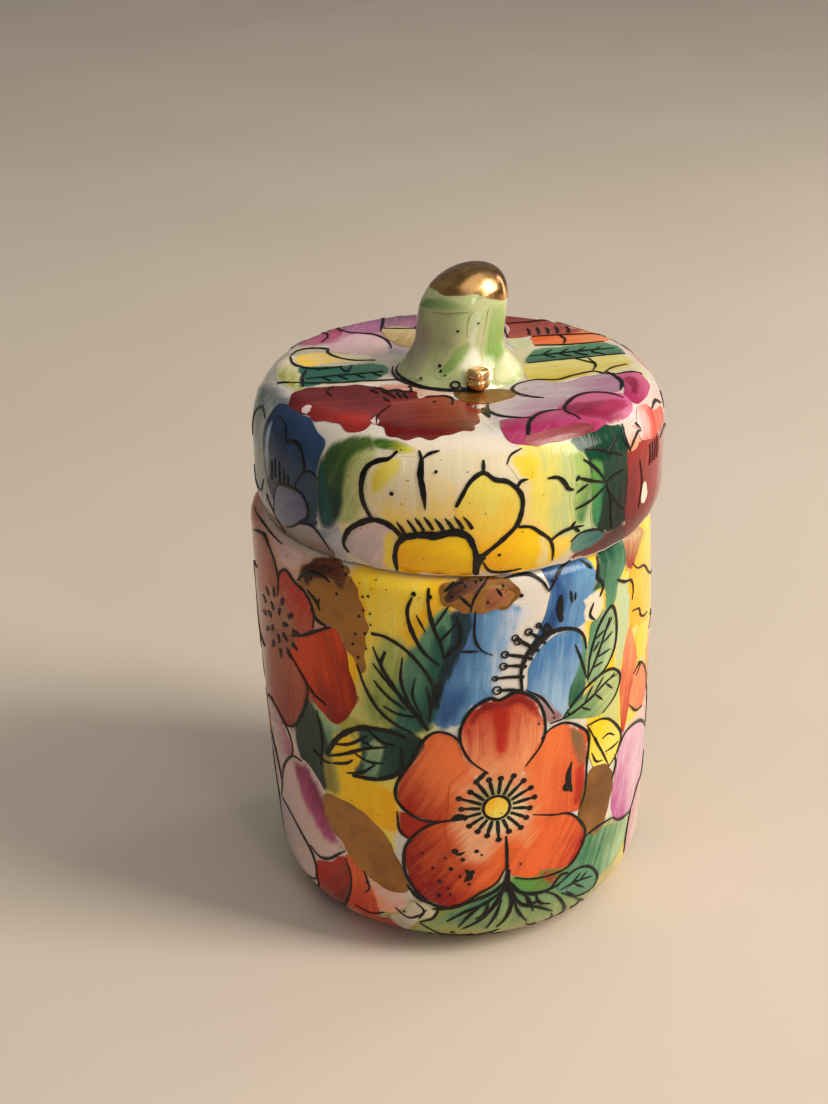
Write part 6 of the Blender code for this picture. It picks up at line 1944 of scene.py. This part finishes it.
def jar_far_side(paint):
    """Flowers and leaves round the back, which nothing shows, in the same manner as the front."""
    groups = (
        ("jar_far_pink", 0, (((52, 39), 9.5, MAGENTA, BLUSH, AMBER, 0.5, 14),),
         (((43.5, 27), (38.6, 35), 2.4, PINE, SAGE), ((47, 49), (42, 55), 1.9, TEAL, PALE_GREEN),
          ((60, 47), (66, 54), 2.0, PINE, TEAL)), (((55, 27), (4, 2), 0.4),)),
        ("jar_far_yellow", 0, (((49, 14), 9.5, AMBER, LEMON, ORANGE, 1.1, 14),),
         (((57, 8), (64, 1), 2.4, PINE, SAGE), ((42, 8), (38, 0), 2.2, TEAL, SAGE),
          ((46, 24.6), (52, 27), 1.5, TEAL, PALE_GREEN)), (((38, 24), (1.8, 3), 0.3),)),
        ("jar_far_blue", 7, (((72, 44), 9.2, BLUE, PALE_BLUE, YELLOW, 0.2, 13),),
         (((64, 37), (60, 29), 2.2, TEAL, SAGE), ((81, 42), (87, 34), 2.4, PINE, SAGE)),
         (((81.5, 50.5), (4, 2), -0.5),)),
        ("jar_far_poppy", 7, (((71, 21), 11.5, BLOOD, PALE_ORANGE, YELLOW, 0.8, 17),),
         (((64, 10), (58, 4), 2.4, PINE, SAGE), ((80, 11), (86, 3), 2.6, TEAL, PALE_GREEN),
          ((84, 27), (90, 30), 1.8, TEAL, SAGE)), (((70, 4), (4.6, 2), 0.2),)),
        ("jar_far_gold_flower", 0, (((92, 41), 9, AMBER, LEMON, ORANGE, 0.9, 13),),
         (((100, 36), (104, 44), 2.3, TEAL, PALE_GREEN), ((86, 49), (82, 54), 1.8, PINE, SAGE),
          ((99, 48), (105, 54), 2.0, PINE, TEAL)), (((98.5, 27), (2.4, 4.6), 0.4),)),
        ("jar_far_red", 0, (((92, 15), 10.5, CRIMSON, ORANGE, YELLOW, 0.1, 16),),
         (((100, 7), (107, 1), 2.4, TEAL, SAGE), ((84, 6), (79, 0), 2.0, PINE, SAGE),
          ((99, 23), (105, 28), 2.2, PINE, SAGE)), (((82.5, 31), (2.2, 4), -0.5),)),
        ("jar_far_lilac", 7, (((109, 33), 8, PLUM, LILAC, YELLOW, 0.6, 12),
                             ((112, 13), 8, ROSE, BLUSH, AMBER, 0.3, 12)),
         (((108, 42), (112, 51), 2.2, TEAL, SAGE), ((104, 22), (100, 17), 1.8, PINE, SAGE),
          ((112, 4), (106, -2), 2.0, PINE, TEAL)), (((118, 24.5), (2, 3.4), 0.2),)))
    for name, start, flowers, leaves, dabs in groups:
        far_group(paint, name, on_jar, "jar", start, flowers, leaves, dabs)


def lid_far_side(paint):
    """The same on the far side of the lid."""
    colours = ((YELLOW, LEMON), (TEAL, SAGE), (SALMON, BLUSH), (LEMON, CREAM), (OLIVE, PALE_GREEN))
    far_ground(paint, "lid_far_ground", on_lid_side, "lid", (46, 56, 66, 76, 86, 96, 106), (5, 14), (7, 5.6),
               colours)
    groups = (
        ("lid_far_rose", 0, (((51, 8.6), 7.6, MAGENTA, BLUSH, YELLOW, 0.4, 12),),
         (((43, 6), (39, 13), 2.0, PINE, SAGE), ((58, 12), (62, 17), 1.7, TEAL, PALE_GREEN)), ()),
        ("lid_far_blue", 7, (((69, 8.6), 7.6, NAVY, SKY, YELLOW, 0.9, 12),),
         (((61, 3), (60, 11), 1.8, TEAL, PALE_GREEN), ((77, 12), (80, 18), 1.8, PINE, SAGE)),
         (((77.5, 3), (2.6, 1.4), 0.5),)),
        ("lid_far_orange", 0, (((87, 8.6), 7.6, BLOOD, ORANGE, YELLOW, 0.2, 12),),
         (((79, 3), (78, 11), 1.8, PINE, LEAF), ((94, 13), (99, 17), 1.7, TEAL, SAGE)), ()),
        ("lid_far_yellow", 7, (((105, 8.4), 7.4, AMBER, LEMON, ORANGE, 0.7, 12),),
         (((96.6, 3), (96.4, 11), 1.7, TEAL, SAGE), ((112.5, 4), (114.5, 13), 1.8, PINE, SAGE)),
         (((98, 16), (2.6, 1.4), -0.3),)))
    for name, start, flowers, leaves, dabs in groups:
        far_group(paint, name, on_lid_side, "lid", start, flowers, leaves, dabs)


# ---------------------------------------------------------------- stage, light and camera

def make_floor():
    mesh = bpy.data.meshes.new("floor")
    reach = 6.0
    corners = [(-reach, -reach, 0), (reach, -reach, 0), (reach, reach, 0), (-reach, reach, 0)]
    mesh.from_pydata(corners, [], [(0, 1, 2, 3)])
    mesh.materials.append(floor_finish())
    floor = bpy.data.objects.new("floor", mesh)
    bpy.context.scene.collection.objects.link(floor)


def direction(azimuth, elevation):
    """Azimuth 0 is in front and 90 to the right."""
    azimuth, elevation = radians(azimuth), radians(elevation)
    return Vector((sin(azimuth) * cos(elevation), -cos(azimuth) * cos(elevation), sin(elevation)))


def softbox(name, azimuth, elevation, distance, width, height, power, colour):
    """An area light that faces the object. Lengths are in metres, power in watts."""
    light = bpy.data.lights.new(name, "AREA")
    light.shape = "RECTANGLE"
    light.size, light.size_y = width, height
    light.energy = power
    light.color = colour
    lamp = bpy.data.objects.new(name, light)
    away = direction(azimuth, elevation)
    lamp.location = LIGHT_TARGET + away * distance
    lamp.rotation_mode = "QUATERNION"
    lamp.rotation_quaternion = away.to_track_quat("Z", "Y")
    bpy.context.scene.collection.objects.link(lamp)


def make_lights():
    """A warm window at the right, two narrow strips for highlights and a wide soft ceiling."""
    softbox("window", 70, 36, 0.75, 0.24, 0.48, 5.7, (1.0, 0.93, 0.83))
    softbox("side_strip", 118, 14, 0.42, 0.07, 0.34, 0.3, (1.0, 0.97, 0.93))
    softbox("front_strip", 24, 22, 0.55, 0.07, 0.22, 0.3, (1.0, 0.96, 0.90))
    softbox("ceiling", 40, 76, 2.2, 2.4, 2.4, 16.5, (1.0, 0.95, 0.89))
    world = bpy.data.worlds.new("studio")
    world.use_nodes = True
    background = world.node_tree.nodes["Background"]
    background.inputs["Color"].default_value = (0.86, 0.88, 0.88, 1.0)
    background.inputs["Strength"].default_value = 0.20
    bpy.context.scene.world = world


def make_camera():
    camera = bpy.data.cameras.new("camera")
    camera.lens = CAMERA_LENS
    camera.sensor_width = 36
    camera.clip_start, camera.clip_end = 0.01, 20
    seen = bpy.data.objects.new("camera", camera)
    pitch, roll = CAMERA_PITCH, CAMERA_ROLL
    back = Vector((0, -cos(pitch), sin(pitch)))
    level_up = Vector((0, sin(pitch), cos(pitch)))
    right = Vector((1, 0, 0)) * cos(roll) + level_up * sin(roll)
    up = Vector((-1, 0, 0)) * sin(roll) + level_up * cos(roll)
    place = CAMERA_TARGET + back * CAMERA_DISTANCE
    seen.matrix_world = Matrix((
        (right.x, up.x, back.x, place.x),
        (right.y, up.y, back.y, place.y),
        (right.z, up.z, back.z, place.z),
        (0, 0, 0, 1)))
    bpy.context.scene.collection.objects.link(seen)
    bpy.context.scene.camera = seen


def main():
    glaze = white_glaze()
    bare = bare_porcelain()
    gilding = bright_gilding()
    make_jar(glaze, bare)
    make_lid(glaze, bare)
    make_guide_bead(bare)
    make_finial(green_glaze())
    make_finial_gilding(gilding)
    make_bud(bead_gilding_painted_bright())
    paint = {"enamel": painted_enamel(), "lines": black_outline(), "gold": worn_lustre_and_dark_reflection()}
    paint_everything(paint)
    make_floor()
    make_lights()
    make_camera()
    bpy.context.scene.view_settings.view_transform = "Standard"


def paint_everything(paint):
    """Every motif, in the order in which a soft edge fades into what is painted already."""
    for motif in (jar_front_ground, jar_far_ground, lid_front_ground, top_ground,
                  jar_blue_flower, jar_anemone, jar_sprigs, jar_poppy, jar_pink_left, jar_pink_right,
                  jar_foliage, jar_left_leaves, jar_green_right, jar_red_low, jar_yellow_right,
                  jar_gold_leaf_top, jar_bud_and_gold, jar_gold_leaf_low, jar_gold_top,
                  lid_yellow_flower, lid_green_arch, lid_navy_flower, lid_dark_leaf, lid_right_red,
                  top_crimson, top_left, top_back_left, top_back_right, top_back_flower,
                  top_magenta, top_gold,
                  jar_far_side, lid_far_side, finial_marks):
        motif(paint)


main()
